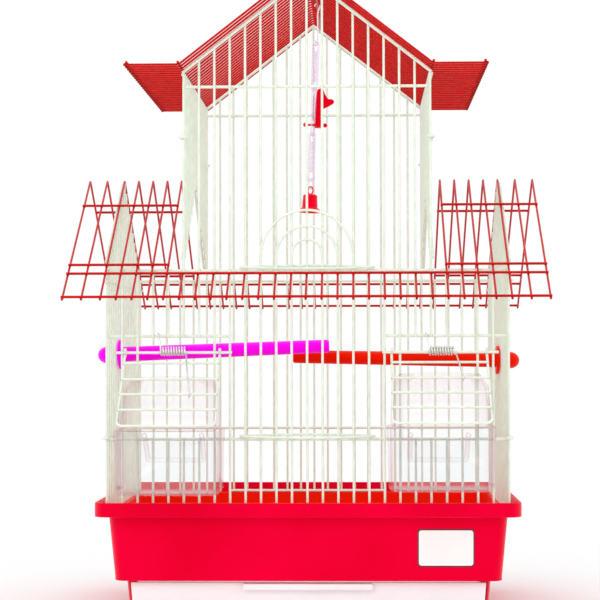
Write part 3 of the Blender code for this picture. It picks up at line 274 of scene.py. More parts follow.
RIM_R = CORNER_R + BASE_WALL
base_levels = [
    level(PLINTH_LOW_HALF, FOOT_INSET, 0),
    level(PLINTH_LOW_HALF, 0, 0),
    level(PLINTH_TOP_HALF, 0, PLINTH_TOP_Z),
    level(TRAY_LOW_HALF, 0, PLINTH_TOP_Z + FIT),
    level(TRAY_LOW_HALF, 0, TRAY_LOW_Z),
    level(TRAY_TOP_HALF, 0, RIM_LOW_Z),
    level(RIM_HALF, 0, RIM_LOW_Z + FIT, RIM_R),
    level(RIM_HALF, 0, RIM_TOP_Z, RIM_R),
    level(RIM_HALF, BASE_WALL, RIM_TOP_Z, RIM_R),
    level(RIM_HALF, BASE_WALL, LEDGE_Z, RIM_R),
    level(TRAY_TOP_HALF, BASE_WALL, LEDGE_Z - FIT),
    level(TRAY_LOW_HALF, BASE_WALL, PLINTH_TOP_Z + BASE_WALL + FIT),
    level(PLINTH_TOP_HALF, BASE_WALL, PLINTH_TOP_Z + BASE_WALL),
    level(PLINTH_TOP_HALF, BASE_WALL, PLINTH_TOP_Z),
    level(PLINTH_LOW_HALF, BASE_WALL, BASE_WALL),
    level(PLINTH_LOW_HALF, 2 * BASE_WALL, BASE_WALL),
]
bm = moulding(base_levels, BASE_EDGE)
reach = [half - BASE_WALL - SKIN for half in RIM_HALF]
# Inner and upward faces take the matt red whose orange tint paints their shade
for face in bm.faces:
    middle, normal = face.calc_center_median(), face.normal
    within = abs(middle.x) < reach[0] and abs(middle.y) < reach[1]
    inward = middle.x * normal.x + middle.y * normal.y < 0
    cavity = within and inward and middle.z > BASE_WALL / 2
    face.material_index = int(cavity or normal.z > FACES_UP)
base = thing("base_moulding", bm, GLOSS_RED, SHADE_TINTED_MATT_RED)
low_z, high_z = BASE_WALL - FIT, PLINTH_TOP_Z - FIT
low, high = mouth_half(low_z) - FIT, mouth_half(high_z) - FIT
mouth = [(-low, low_z), (low, low_z), (high, high_z), (-high, high_z)]
carve(base, slab(mouth, -RIM_HALF[1], MOUTH_DEPTH - PLINTH_LOW_HALF[1]))
stands_for(base, "cage", "red_base", "base")


# A blank paper label with a printed border lines the right of the tray's front. It is stuck on
# flat, so it leans with the wall, and its laminate shines a little.
LABEL_X = 103.1 * MM
LABEL_Z = 53.8 * MM
LABEL_HALF = (21.2 * MM, 14.2 * MM)
LABEL_CORNER = 3 * MM
LABEL_CORNER_STEPS = 5
LABEL_LIFT = 0.02 * MM
LABEL_THICK = 0.15 * MM
LABEL_BORDER = 0.9 * MM

# White paper and black print, both under the same clear laminate
PAPER = moulded("laminated label paper", "#f6f6f4", "#f1f2f0", 0.3, 0.4 * MM, 0.01 * MM, ior=1.5)
INK = moulded("printed label border", "#242022", "#1c191b", 0.35, 0.4 * MM, 0.01 * MM, ior=1.5)

slope = (TRAY_TOP_HALF[1] - TRAY_LOW_HALF[1]) / (RIM_LOW_Z - TRAY_LOW_Z)
upward = Vector((0, -slope, 1)).normalized()
outward = Vector((0, -1, -slope)).normalized()
centre = Vector((LABEL_X, -TRAY_LOW_HALF[1] - slope * (LABEL_Z - TRAY_LOW_Z), LABEL_Z))
outlines = []
for inset, lift in ((0, LABEL_LIFT), (0, LABEL_THICK), (LABEL_BORDER, LABEL_THICK)):
    half = [size - inset for size in LABEL_HALF]
    flat = oblong(half, LABEL_CORNER - inset, LABEL_CORNER_STEPS)
    outlines.append([centre + X_AXIS * p.x + upward * p.y + outward * lift for p in flat])
bm = lofted(outlines)
for face in bm.faces:
    face.material_index = int(len(face.verts) == 4)
stands_for(thing("blank_label", bm, PAPER, INK, smooth=False), "cage", "white_drawer")


# The drawer is white polypropylene: a tub that follows the plinth, with a front plate that closes
# the plinth's mouth and a finger lip along the middle of its top edge.
DRAWER_WALL = 1.8 * MM
DRAWER_TOP_Z = PLINTH_TOP_Z - 1.2 * MM
DRAWER_GAP = 0.8 * MM
DRAWER_SIDE_GAP = 3.2 * MM
DRAWER_EDGE = 0.5 * MM
PLATE_THICK = 2.4 * MM
PLATE_MARGIN = 1.6 * MM
PLATE_FOOT_Z = 1 * MM
JOIN = 1 * MM
LIP_HALF = 49 * MM
LIP_DEPTH = 4.5 * MM
LIP_HEIGHT = 5 * MM
LIP_NOTCH = 0.4 * MM

# Plain white polypropylene with a satin moulded skin
WHITE_PLASTIC = moulded(
    "white polypropylene", "#f7f3f5", "#f2eef1", 0.34, 0.9 * MM, 0.02 * MM
)


def soften(made, width, segments=2):
    """Rounds an object's sharp edges by a real radius."""
    bevel = made.modifiers.new("soften", "BEVEL")
    bevel.width = width
    bevel.segments = segments
    bevel.limit_method = "ANGLE"
    bevel.angle_limit = EDGE_ANGLE
    bevel.harden_normals = False
    return shade(settle(made))


def upright(x_from, x_to, z_from, z_to):
    """The corners of an upright rectangle, as (x, z)."""
    return [(x_from, z_from), (x_to, z_from), (x_to, z_to), (x_from, z_to)]


low_z = BASE_WALL + FIT
tub_z = DRAWER_TOP_Z - LIP_NOTCH - FIT
front = -PLINTH_TOP_HALF[1] - FIT
back = PLINTH_LOW_HALF[1] - BASE_WALL - DRAWER_GAP
half = (mouth_half(low_z) - DRAWER_SIDE_GAP, (back - front + JOIN) / 2)
tub_levels = [
    (FOOT_INSET, low_z), (0, low_z), (0, tub_z), (DRAWER_WALL, tub_z),
    (DRAWER_WALL, low_z + DRAWER_WALL), (2 * DRAWER_WALL, low_z + DRAWER_WALL),
]
tub = [level(half, inset, z, CORNER_R - BASE_WALL) for inset, z in tub_levels]
bm = moulding(tub, DRAWER_EDGE, (back + front - JOIN) / 2)
drawer = thing("drawer_moulding", bm, WHITE_PLASTIC)
right = [(mouth_half(z) - DRAWER_SIDE_GAP + PLATE_MARGIN, z) for z in (PLATE_FOOT_Z, DRAWER_TOP_Z)]
section = right + [(-x, z) for x, z in reversed(right)]
plate = soften(thing("front_plate", slab(section, front - PLATE_THICK, front)), DRAWER_EDGE)
section = upright(FIT - LIP_HALF, LIP_HALF - FIT, tub_z - LIP_HEIGHT, tub_z)
bm = slab(section, front - PLATE_THICK - LIP_DEPTH, front - JOIN)
lip = soften(thing("finger_lip", bm), 2 * DRAWER_EDGE, 3)
for part in (plate, lip):
    bm = bmesh.new()
    bm.from_mesh(part.data)
    carve(drawer, bm, "UNION")
    bpy.data.objects.remove(part)
stands_for(shade(drawer), "drawer_body", "white_drawer", "drawer")


# The wire walls are drawn steel wire, straightened, resistance-welded at every crossing and then
# dipped in white enamel, which fills the welds. Cross wires are a little thicker than bars.
WELD = 0.35 * MM
BAR_R = 0.9 * MM
CROSS_R = 1.1 * MM
GABLE_R = 1.2 * MM
ROOF_R = 0.85 * MM
STRINGER_R = 1.0 * MM
HINGE_R = 1.0 * MM
BEAD_R = 1.15 * MM
WIRE_SIDES = 12
BEAD_SIDES = 8
BEAD_RINGS = 6
CAGE_WIDTH = 300 * MM
CAGE_DEPTH = 230 * MM
FRONT_GAPS = 26
SIDE_GAPS = 20
FRONT_PITCH = CAGE_WIDTH / FRONT_GAPS
SIDE_PITCH = CAGE_DEPTH / SIDE_GAPS
HALF_WIDTH = CAGE_WIDTH / 2
HALF_DEPTH = CAGE_DEPTH / 2
TOWER_BAR = 5
FEEDER_BARS = (2, 7)
FEEDER_TOP_BAR = 8
DOOR_BAR = 9
TIE_BARS = (7, 18)
TIE_TAIL = 3 * MM
TOWER_HALF = HALF_WIDTH - TOWER_BAR * FRONT_PITCH
FEEDER_INNER_X = HALF_WIDTH - FEEDER_TOP_BAR * FRONT_PITCH
LOW_CROSS_Z = 135 * MM
FEEDER_TOP_Z = 212 * MM
EAVE_CROSS_Z = 261 * MM
TOWER_CROSS_Z = {1: 399 * MM, -1: 403.5 * MM}
SIDE_CROSS_Z = (136 * MM, 253 * MM)
TOWER_SIDE_CROSS_Z = 361 * MM
LOWER_RIDGE_Z = 338 * MM
LOWER_EAVE_Z = 239 * MM
LOWER_EAVE_Y = 155 * MM
LOWER_SLOPE = (LOWER_RIDGE_Z - LOWER_EAVE_Z) / LOWER_EAVE_Y
LOWER_ANGLE = math.atan(LOWER_SLOPE)
TOP_RIDGE_Z = 484.5 * MM
WING_Z = 412 * MM
WING_KINK_X = TOWER_HALF + 1.3 * MM
TOP_SLOPE = (TOP_RIDGE_Z - WING_Z) / WING_KINK_X
TOP_ANGLE = math.atan(TOP_SLOPE)
CROSS_OFFSET = BAR_R + CROSS_R - WELD
GABLE_OFFSET = BAR_R + GABLE_R - WELD
FRONT_Y = -HALF_DEPTH
FRONT_CROSS_Y = FRONT_Y + CROSS_OFFSET
BAR_FACE_Y = FRONT_Y - BAR_R
HINGE_Y = BAR_FACE_Y - HINGE_R + WELD
HINGE_Z = 199.7 * MM
HINGE_OUTER_X = HALF_WIDTH - FRONT_PITCH + 4 * MM
HINGE_INNER_X = FEEDER_INNER_X - 1.5 * MM
BAR_FOOT_Z = LEDGE_Z + FIT
WIRE_BEND = 1.5 * MM


def enamelled(name, colour, thin_colour, weld_colour, roughness, gleam="#ffffff"):
    """Dipped enamel on wire: thinner and darker in streaks, darker still in the fillets of the
    welds, with the slight waviness of a run coat."""
    coat = (roughness, 1.2 * MM, 0.04 * MM, 7 * MM)
    made = moulded(name, colour, thin_colour, *coat, ior=1.5, gleam=gleam)
    tree = made.node_tree
    shader = tree.nodes["Principled BSDF"]
    enamel = shader.inputs["Base Color"].links[0].from_socket
    bead = add(tree, "ShaderNodeAttribute", output="Fac", attribute_name="weld")
    colours = {0: bead, 6: enamel, 7: linear(weld_colour)}
    feed(shader, {"Base Color": add(tree, "ShaderNodeMix", colours, 2, data_type="RGBA")})
    return made


# White stoving enamel with a faint green cast
WHITE_WIRE = enamelled("white enamelled wire", "#e9f2e4", "#dce8d4", "#c3d1b8", 0.3)


def drawn_wire_tree():
    """Draws a round wire along each run of edges, as thick as its 'gauge', and a bead of that
    radius at each loose point."""
    tree = bpy.data.node_groups.new("drawn wire", "GeometryNodeTree")
    for label, kind in {"Runs": "Geometry", "Sides": "Int", "Finish": "Material"}.items():
        tree.interface.new_socket(label, in_out="INPUT", socket_type=f"NodeSocket{kind}")
    tree.interface.new_socket("Wires", in_out="OUTPUT", socket_type="NodeSocketGeometry")
    given = add(tree, "NodeGroupInput").node.outputs
    gauge = add(tree, "GeometryNodeInputNamedAttribute", {"Name": "gauge"}, data_type="FLOAT")
    runs = add(tree, "GeometryNodeMeshToCurve", {"Mesh": given["Runs"]})
    circle = {"Resolution": given["Sides"], "Radius": 1.0}
    profile = add(tree, "GeometryNodeCurvePrimitiveCircle", circle)
    sweep = {"Curve": runs, "Profile Curve": profile, "Scale": gauge, "Fill Caps": True}
    tubes = add(tree, "GeometryNodeCurveToMesh", sweep)
    joined = add(tree, "GeometryNodeInputMeshVertexNeighbors", output="Vertex Count")
    loose = add(tree, "FunctionNodeCompare", {2: joined, 3: 0}, data_type="INT", operation="EQUAL")
    spots = add(tree, "GeometryNodeMeshToPoints", {"Mesh": given["Runs"], "Selection": loose})
    ball = {"Segments": BEAD_SIDES, "Rings": BEAD_RINGS, "Radius": 1.0}
    bead = add(tree, "GeometryNodeMeshUVSphere", ball)
    copies = {"Points": spots, "Instance": bead, "Scale": gauge}
    beads = add(tree, "GeometryNodeInstanceOnPoints", copies)
    whole = add(tree, "GeometryNodeRealizeInstances", {"Geometry": beads})
    marked = {"Geometry": whole, "Name": "weld", "Value": 1.0}
    welds = add(tree, "GeometryNodeStoreNamedAttribute", marked, data_type="FLOAT")
    both = add(tree, "GeometryNodeJoinGeometry")
    for part in (welds, tubes):
        feed(both.node, {0: part})
    shaded = add(tree, "GeometryNodeSetShadeSmooth", {"Geometry": both})
    coat = {"Geometry": shaded, "Material": given["Finish"]}
    add(tree, "NodeGroupOutput", {"Wires": add(tree, "GeometryNodeSetMaterial", coat)})
    return tree


WIRE_TREE = drawn_wire_tree()


def drawn(name, wires, beads, finish, sides=WIRE_SIDES):
    """An object of round wires, each (points, radius) or (points, radius, True) for a closed one,
    with welds, each (point, radius)."""
    corners, edges, gauges = [], [], []
    for points, radius, *closed in wires:
        first, count = len(corners), len(points)
        corners += points
        gauges += [radius] * count
        edges += [(first + i, first + i + 1) for i in range(count - 1)]
        if closed:
            edges.append((first + count - 1, first))
    corners += [point for point, radius in beads]
    gauges += [radius for point, radius in beads]
    mesh = bpy.data.meshes.new(name)
    mesh.from_pydata([tuple(p) for p in corners], edges, [])
    mesh.attributes.new("gauge", "FLOAT", "POINT").data.foreach_set("value", gauges)
    made = placed(name, mesh)
    modifier = made.modifiers.new("drawn wire", "NODES")
    modifier.node_group = WIRE_TREE
    values = {"Sides": sides, "Finish": finish}
    for item in WIRE_TREE.interface.items_tree:
        if item.name in values:
            modifier[item.identifier] = values[item.name]
    return settle(made)


def bar_x(n):
    """The place across of the front wires, counted from the left corner."""
    return -HALF_WIDTH + n * FRONT_PITCH


def gable_z(x):
    """The centre of the white gable wires under the top roof."""
    under = (ROOF_R + FIT + GABLE_R) / math.cos(TOP_ANGLE)
    return TOP_RIDGE_Z - under - TOP_SLOPE * abs(x)


def end_wall(name, node, side):
    """The front wall (side 1) or the back wall (side -1), with the tower's half in one piece."""
    y, cross_y = side * FRONT_Y, side * FRONT_CROSS_Y
    gable_y = side * (FRONT_Y - GABLE_OFFSET)
    weld_y = (y + cross_y) / 2
    levels = [(LOW_CROSS_Z, 0, HALF_WIDTH), (EAVE_CROSS_Z, 0, HALF_WIDTH)]
    levels.append((TOWER_CROSS_Z[side], 0, TOWER_HALF))
    if side == 1:
        levels.append((FEEDER_TOP_Z, FEEDER_INNER_X, HALF_WIDTH))
    wires, beads = [], []
    for n in range(FRONT_GAPS + 1):
        x = bar_x(n)
        near = min(n, FRONT_GAPS - n)
        tower = near >= TOWER_BAR
        top = gable_z(x) + FIT if tower else EAVE_CROSS_Z + CROSS_R
        spans = [(BAR_FOOT_Z, top)]
        if side == 1 and FEEDER_BARS[0] < near < FEEDER_BARS[1]:
            spans = [(BAR_FOOT_Z, LOW_CROSS_Z + BAR_R), (FEEDER_TOP_Z - BAR_R, top)]
        if side == 1 and near > DOOR_BAR:
            spans = [(BAR_FOOT_Z, LOW_CROSS_Z + BAR_R), (EAVE_CROSS_Z - BAR_R, top)]
        for low, high in spans:
            wires.append(([(x, y, low), (x, y, high)], BAR_R))
            for z, start, end in levels:
                if low < z < high and start - FIT < abs(x) < end + FIT:
                    beads.append(((x, weld_y, z), BEAD_R))
        if tower:
            beads.append(((x, (y + gable_y) / 2, gable_z(x)), BEAD_R))
    for z, start, end in levels:
        for ends in [(-start, -end), (start, end)] if start else [(-end, end)]:
            wires.append(([(x, cross_y, z) for x in ends], CROSS_R))
    corner = TOWER_HALF + BAR_R
    gable = [(x, gable_y, gable_z(x)) for x in (-corner, 0, corner)]
    wires.append((rounded(gable, WIRE_BEND), GABLE_R))
    if side == 1:
        for s in (-1, 1):
            ends = [(s * x, HINGE_Y, HINGE_Z) for x in (HINGE_OUTER_X, HINGE_INNER_X)]
            wires.append((ends, HINGE_R))
            for n in (1, 2, FEEDER_BARS[1], FEEDER_TOP_BAR):
                beads.append(((s * bar_x(n), (HINGE_Y + FRONT_Y) / 2, HINGE_Z), BEAD_R))
    else:
        tie_z = LEDGE_Z + FIT + CROSS_R
        first, last = TIE_BARS
        ends = (bar_x(first) - TIE_TAIL, bar_x(last) + TIE_TAIL)
        wires.append(([(x, cross_y, tie_z) for x in ends], CROSS_R))
        beads += [((bar_x(n), weld_y, tie_z), BEAD_R) for n in range(first, last + 1)]
    stands_for(drawn(name, wires, beads, WHITE_WIRE), "cage", "white_wire", node)


end_wall("front_wall_wires", "front_panel", 1)
end_wall("back_wall_wires", "back_panel", -1)


# The side walls are lighter panels of the same wire. Each long cross wire ends in a hook bent
# round the corner bars of the front and back walls, which is what holds the cage together.
HOOK_CLEAR = 0.6 * MM


def mirrored(points, axis):
    """The points on the other side of the cage's middle, along X (0) or Y (1)."""
    made = [Vector(p) for p in points]
    for p in made:
        p[axis] = -p[axis]
    return made


def hooked_wire(x_bars, x_wire, z):
    """A cross wire of a side wall, with a hook round each corner bar."""
    outward = X_AXIS * math.copysign(1, x_bars)
    reach = BAR_R + CROSS_R + HOOK_CLEAR
    hook = arc((x_bars, FRONT_Y, z), outward, -Y_AXIS, reach, 0, 135, 9)
    front = [(x_wire, FRONT_Y + 3 * reach, z), *hook]
    return [*reversed(front), *mirrored(front, 1)], CROSS_R


def side_panel(name, node, x, cross_z, foot_at, top_at, slope_at):
    """A side wall at a place across: bars, one hooked wire at each height, and the cross wires
    that follow the roof. The last three give the heights at a place along Y."""
    cross_x = x + math.copysign(CROSS_OFFSET, x)
    wires, beads = [], []
    for k in range(1, SIDE_GAPS):
        y = -HALF_DEPTH + k * SIDE_PITCH
        wires.append(([(x, y, foot_at(y)), (x, y, top_at(y))], BAR_R))
        for z in (*cross_z, *(height(y) for height in slope_at)):
            beads.append((((x + cross_x) / 2, y, z), BEAD_R))
    wires += [hooked_wire(x, cross_x, z) for z in cross_z]
    end_y = HALF_DEPTH - SIDE_PITCH + 2 * BAR_R
    for height in slope_at:
        run = [(cross_x, y, height(y)) for y in (-end_y, 0, end_y)]
        wires.append((rounded(run, WIRE_BEND), CROSS_R))
    stands_for(drawn(name, wires, beads, WHITE_WIRE), "cage", "white_wire", node)


def lower_slope_z(y, under=0.0):
    """The height of the lower roof's wires at a place along Y, or as far under them."""
    return LOWER_RIDGE_Z - under - LOWER_SLOPE * abs(y)


SIDE_UNDER = BAR_R + BAR_R * LOWER_SLOPE + (ROOF_R + FIT) / math.cos(LOWER_ANGLE)
TOWER_TOP_Z = WING_Z - ROOF_R - FIT - CROSS_R
for side_name, side in SIDES.items():
    side_panel(
        f"{side_name}_wall_wires", f"{side_name}_wall", side * HALF_WIDTH, SIDE_CROSS_Z,
        lambda y: BAR_FOOT_Z,
        lambda y: lower_slope_z(y, SIDE_UNDER) + BAR_R,
        [lambda y: lower_slope_z(y, SIDE_UNDER)],
    )
    side_panel(
        f"{side_name}_tower_wires", f"tower_{side_name}_wall", side * TOWER_HALF,
        [TOWER_SIDE_CROSS_Z],
        lambda y: lower_slope_z(y) - BAR_R,
        lambda y: TOWER_TOP_Z + BAR_R / 2,
        [lambda y: TOWER_TOP_Z, lower_slope_z],
    )


# Both roofs are the same kind of welded wire, dipped in red enamel. The lower one has bent V
# wires each side of the tower and short eave strips in front of it and behind it.
ROOF_TAIL = 1 * MM
STRINGER_TAIL = 2 * MM
SIDE_OVERHANG = 27.8 * MM
OUTER_GAPS = 2
V_WIRES = 7
SKIRT_SHARE = 0.815
EAVE_SHARE = 0.998
STRINGER_SHARES = (0.24, 0.745)
LIFT = ROOF_R + STRINGER_R - WELD

# Red stoving enamel, brown-red where it runs thin and dark in the welds
RED_WIRE = enamelled("red enamelled wire", "#c8120e", "#b00e10", "#940b08", 0.32, "#ff7a6a")


def lower_roof_point(x, share, lift=0.0):
    """A point on the lower roof's front slope, a share of the way down, lifted off the wires."""
    y = -share * LOWER_EAVE_Y
    z = LOWER_RIDGE_Z - LOWER_SLOPE * share * LOWER_EAVE_Y
    return Vector((x, y - lift * math.sin(LOWER_ANGLE), z + lift * math.cos(LOWER_ANGLE)))


def roof_x(n):
    """The place across of a wire of the lower roof, counted from the middle one."""
    over = max(abs(n) - FRONT_GAPS // 2, 0)
    return math.copysign((abs(n) - over) * FRONT_PITCH + over * SIDE_OVERHANG / OUTER_GAPS, n)


tail = ROOF_TAIL / LOWER_EAVE_Y
last = FRONT_GAPS // 2 + OUTER_GAPS
end = roof_x(last) + ROOF_TAIL
wires, beads = [], []
for n in range(-last, last + 1):
    x = roof_x(n)
    bead_x = math.copysign(min(abs(x), end - BEAD_R), x)
    foot = lower_roof_point(x, 1 + tail)
    long_wire = last - abs(n) < V_WIRES
    if long_wire:
        bent = [foot, (x, 0, LOWER_RIDGE_Z), *mirrored([foot], 1)]
        wires.append((rounded(bent, WIRE_BEND), ROOF_R))
    else:
        strip = [foot, lower_roof_point(x, SKIRT_SHARE - tail)]
        wires += [(strip, ROOF_R), (mirrored(strip, 1), ROOF_R)]
    for share in (*(STRINGER_SHARES if long_wire else ()), SKIRT_SHARE, EAVE_SHARE):
        spot = [lower_roof_point(bead_x, share, LIFT / 2)]
        beads += [(p, BEAD_R) for p in (*spot, *mirrored(spot, 1))]
inner = roof_x(last - V_WIRES + 1) - ROOF_TAIL
runs = [(share, (side * inner, side * end)) for share in STRINGER_SHARES for side in (-1, 1)]
runs += [(share, (-end, end)) for share in (SKIRT_SHARE, EAVE_SHARE)]
for share, ends in runs:
    points = [lower_roof_point(x, share, LIFT) for x in ends]
    wires += [(points, STRINGER_R), (mirrored(points, 1), STRINGER_R)]
stands_for(drawn("lower_roof_wires", wires, beads, RED_WIRE), "cage", "red_wire", "lower_roof")


# The top roof covers the tower: each wire is bent at the ridge and at the start of the flat wings,
# and the enamel has dried in a knob on each cut end. One wire under the ridge carries the toy.
WING_END_X = WING_KINK_X + 38.4 * MM
TOP_ROOF_LENGTH = 286 * MM
TOP_ROOF_GAPS = 24
TOP_ROOF_PITCH = TOP_ROOF_LENGTH / TOP_ROOF_GAPS
KNOB_TIP_R = 1.25 * MM
KNOB_TIP_X = WING_END_X + STRINGER_TAIL - 0.6 * MM
TOY_WIRE_X = 6 * MM
ROOF_Z_AT_TOY = TOP_RIDGE_Z - TOP_SLOPE * TOY_WIRE_X
TOY_WIRE_Z = ROOF_Z_AT_TOY - LIFT / math.cos(TOP_ANGLE)

kink_lift = LIFT / math.cos(TOP_ANGLE / 2)
kink_x = WING_KINK_X + kink_lift * math.sin(TOP_ANGLE / 2)
kink_z = WING_Z + kink_lift * math.cos(TOP_ANGLE / 2)
wires, beads = [], []
for k in range(TOP_ROOF_GAPS + 1):
    y = -TOP_ROOF_LENGTH / 2 + k * TOP_ROOF_PITCH
    right = [(x, y, WING_Z) for x in (WING_KINK_X, WING_END_X + STRINGER_TAIL)]
    bent = [*mirrored(reversed(right), 0), (0, y, TOP_RIDGE_Z), *right]
    wires.append((rounded(bent, WIRE_BEND), ROOF_R))
    for side in (-1, 1):
        kink = (side * (WING_KINK_X + kink_x) / 2, y, (WING_Z + kink_z) / 2)
        beads.append(((side * KNOB_TIP_X, y, WING_Z), KNOB_TIP_R))
        beads += [((side * WING_END_X, y, WING_Z + LIFT / 2), BEAD_R), (kink, BEAD_R)]
    if abs(y) < HALF_DEPTH:
        beads.append(((TOY_WIRE_X, y, (ROOF_Z_AT_TOY + TOY_WIRE_Z) / 2), BEAD_R))
reach = TOP_ROOF_LENGTH / 2 + STRINGER_TAIL
places = ((WING_END_X, WING_Z + LIFT), (kink_x, kink_z))
runs = [(side * x, z, reach) for side in (-1, 1) for x, z in places]
runs.append((TOY_WIRE_X, TOY_WIRE_Z, HALF_DEPTH - 2 * BAR_R))
wires += [([(x, -reach, z), (x, reach, z)], STRINGER_R) for x, z, reach in runs]
stands_for(drawn("top_roof_wires", wires, beads, RED_WIRE), "cage", "red_wire", "top_roof")


# The door is bent from the bars' wire: three arches and a middle bar on two flat loops that wrap
# round the front bars, so that it slides up and falls shut by its weight.
ARCH_GAP = 11.5 * MM
ARCH_TOPS = (284 * MM, 294 * MM, 306 * MM)
DOOR_LOOP_HALF = 50 * MM
LOOP_SAG = 1.2 * MM
SMALL_BEAD_R = BEAD_R - 0.1 * MM

leg_y = BAR_FACE_Y - 2 * FIT - BAR_R
loop_front = leg_y - 2 * BAR_R + WELD
loop_back = FRONT_Y + BAR_R + FIT + BAR_R
loop_bend = (loop_back - loop_front) / 2
straight = DOOR_LOOP_HALF - loop_bend
low_z = LOW_CROSS_Z + CROSS_R + FIT + BAR_R
high_z = EAVE_CROSS_Z + CROSS_R + FIT + BAR_R
foot_z = low_z - 2 * BAR_R


def loop_point(share, z, side):
    """A point on the front (1) or back (-1) run of a door loop, bowed down or up in the middle."""
    y = loop_front if side == 1 else loop_back
    return Vector((side * share * straight, y, z - side * LOOP_SAG * (1 - share * share)))


wires, beads = [([(0, leg_y, foot_z), (0, leg_y, high_z + BAR_R)], BAR_R)], []
for n, top in enumerate(ARCH_TOPS, start=1):
    radius = n * ARCH_GAP
    crown = arc((0, leg_y, top - radius), X_AXIS, Z_AXIS, radius, 0, 180, 28)
    wires.append(([(radius, leg_y, foot_z), *crown, (-radius, leg_y, foot_z)], BAR_R))
for z in (low_z, high_z):
    loop = []
    for side in (1, -1):
        loop += [loop_point(k / 8, z, side) for k in range(-7, 8)]
        end = (side * straight, (loop_front + loop_back) / 2, z)
        loop += arc(end, -Y_AXIS * side, X_AXIS * side, loop_bend, 0, 180, 8)
    wires.append((loop, BAR_R, True))
    for n in range(-len(ARCH_TOPS), len(ARCH_TOPS) + 1):
        spot = loop_point(n * ARCH_GAP / straight, z, 1)
        beads.append(((n * ARCH_GAP, (spot.y + leg_y) / 2, spot.z), SMALL_BEAD_R))
stands_for(drawn("sliding_door_wires", wires, beads, WHITE_WIRE), "door", "white_wire", "main_door")


# Each feeder has a sprung flap: a frame of bar wire whose ends curl round the hinge wire of the
# front wall, with four rungs welded on. A flap is opened by hand and shuts by its spring.
FEEDER_X = {"left": -100.6 * MM, "right": 98.3 * MM}
FLAP_HALF = 35.4 * MM
FLAP_LENGTH = 75.8 * MM
FLAP_ANGLES = {"left": math.radians(44), "right": math.radians(42)}
FLAP_CORNER = 4 * MM
FLAP_RUNGS = (12.7 * MM, 29.6 * MM, 45.2 * MM, 61 * MM)
EYELET_R = 2.6 * MM
EYELET_NECK = 1.5 * MM


def flap_axes(side_name):
    """The directions down along a closed flap and square to it, outward."""
    angle = FLAP_ANGLES[side_name]
    down = Vector((0, -math.cos(angle), -math.sin(angle)))
    return down, Vector((0, -math.sin(angle), math.cos(angle)))


for side_name in SIDES:
    down, outward = flap_axes(side_name)
    hinge = Vector((FEEDER_X[side_name], HINGE_Y, HINGE_Z))
    half_rung = X_AXIS * FLAP_HALF
    foot = down * (FLAP_LENGTH - FLAP_CORNER)
    right = arc(half_rung, down, -outward, EYELET_R, 300, 10, 14)
    right += [half_rung + down * (EYELET_R + EYELET_NECK), half_rung + foot]
    right += arc(X_AXIS * (FLAP_HALF - FLAP_CORNER) + foot, X_AXIS, down, FLAP_CORNER, 0, 90, 6)
    run = [hinge + p for p in (*right, *mirrored(reversed(right), 0))]
    wires, beads = [(run, BAR_R)], []
    for s in FLAP_RUNGS:
        middle = hinge + down * s + outward * (2 * BAR_R - WELD)
        wires.append(([middle - half_rung, middle + half_rung], BAR_R))
        weld = hinge + down * s + outward * (BAR_R - WELD / 2)
        beads += [(weld + half_rung * side, SMALL_BEAD_R) for side in (-1, 1)]
    flap = drawn(f"{side_name}_flap_wires", wires, beads, WHITE_WIRE)
    stands_for(flap, f"{side_name}_flap", "white_wire", f"{side_name}_feeder_flap")


# A torsion spring of bright steel sits on each hinge wire. One arm hooks over the cross wire above
# it, and the other bears on the flap, so the coil winds up as the flap is lifted.
SPRING_R = 3 * MM
SPRING_WIRE_R = 0.6 * MM
SPRING_TURNS = 9
SPRING_PITCH = 2 * MM
SPRING_POINTS = 16
SPRING_CLEAR = 0.5 * MM
SPRING_START = {"left": -109.2 * MM, "right": 91 * MM}
SPRING_RUNG = {"left": 2, "right": 1}
SPRING_LEAN = 5.2 * MM
SPRING_UPPER_LEAN = 2.2 * MM
SPRING_RISE = 5 * MM
SPRING_DROP = 2.5 * MM


def spring_steel():
    """Bright drawn spring wire: fine draw lines along it give long thin highlights."""
    made, tree, shader = fresh("bright spring steel")
    place = add(tree, "ShaderNodeTexCoord", output="Object")
    fine = {"Vector": place, "Scale": 1 / (0.5 * MM), "Detail": 2}
    lines = add(tree, "ShaderNodeTexNoise", fine)
    gloss = add(tree, "ShaderNodeMapRange", {"Value": lines, "To Min": 0.16, "To Max": 0.34})
    colours = {0: lines, 6: linear("#f4f6f2"), 7: linear("#d4d8d2")}
    tint = add(tree, "ShaderNodeMix", colours, 2, data_type="RGBA")
    feed(shader, {"Metallic": 1.0, "Roughness": gloss, "Base Color": tint})
    return made


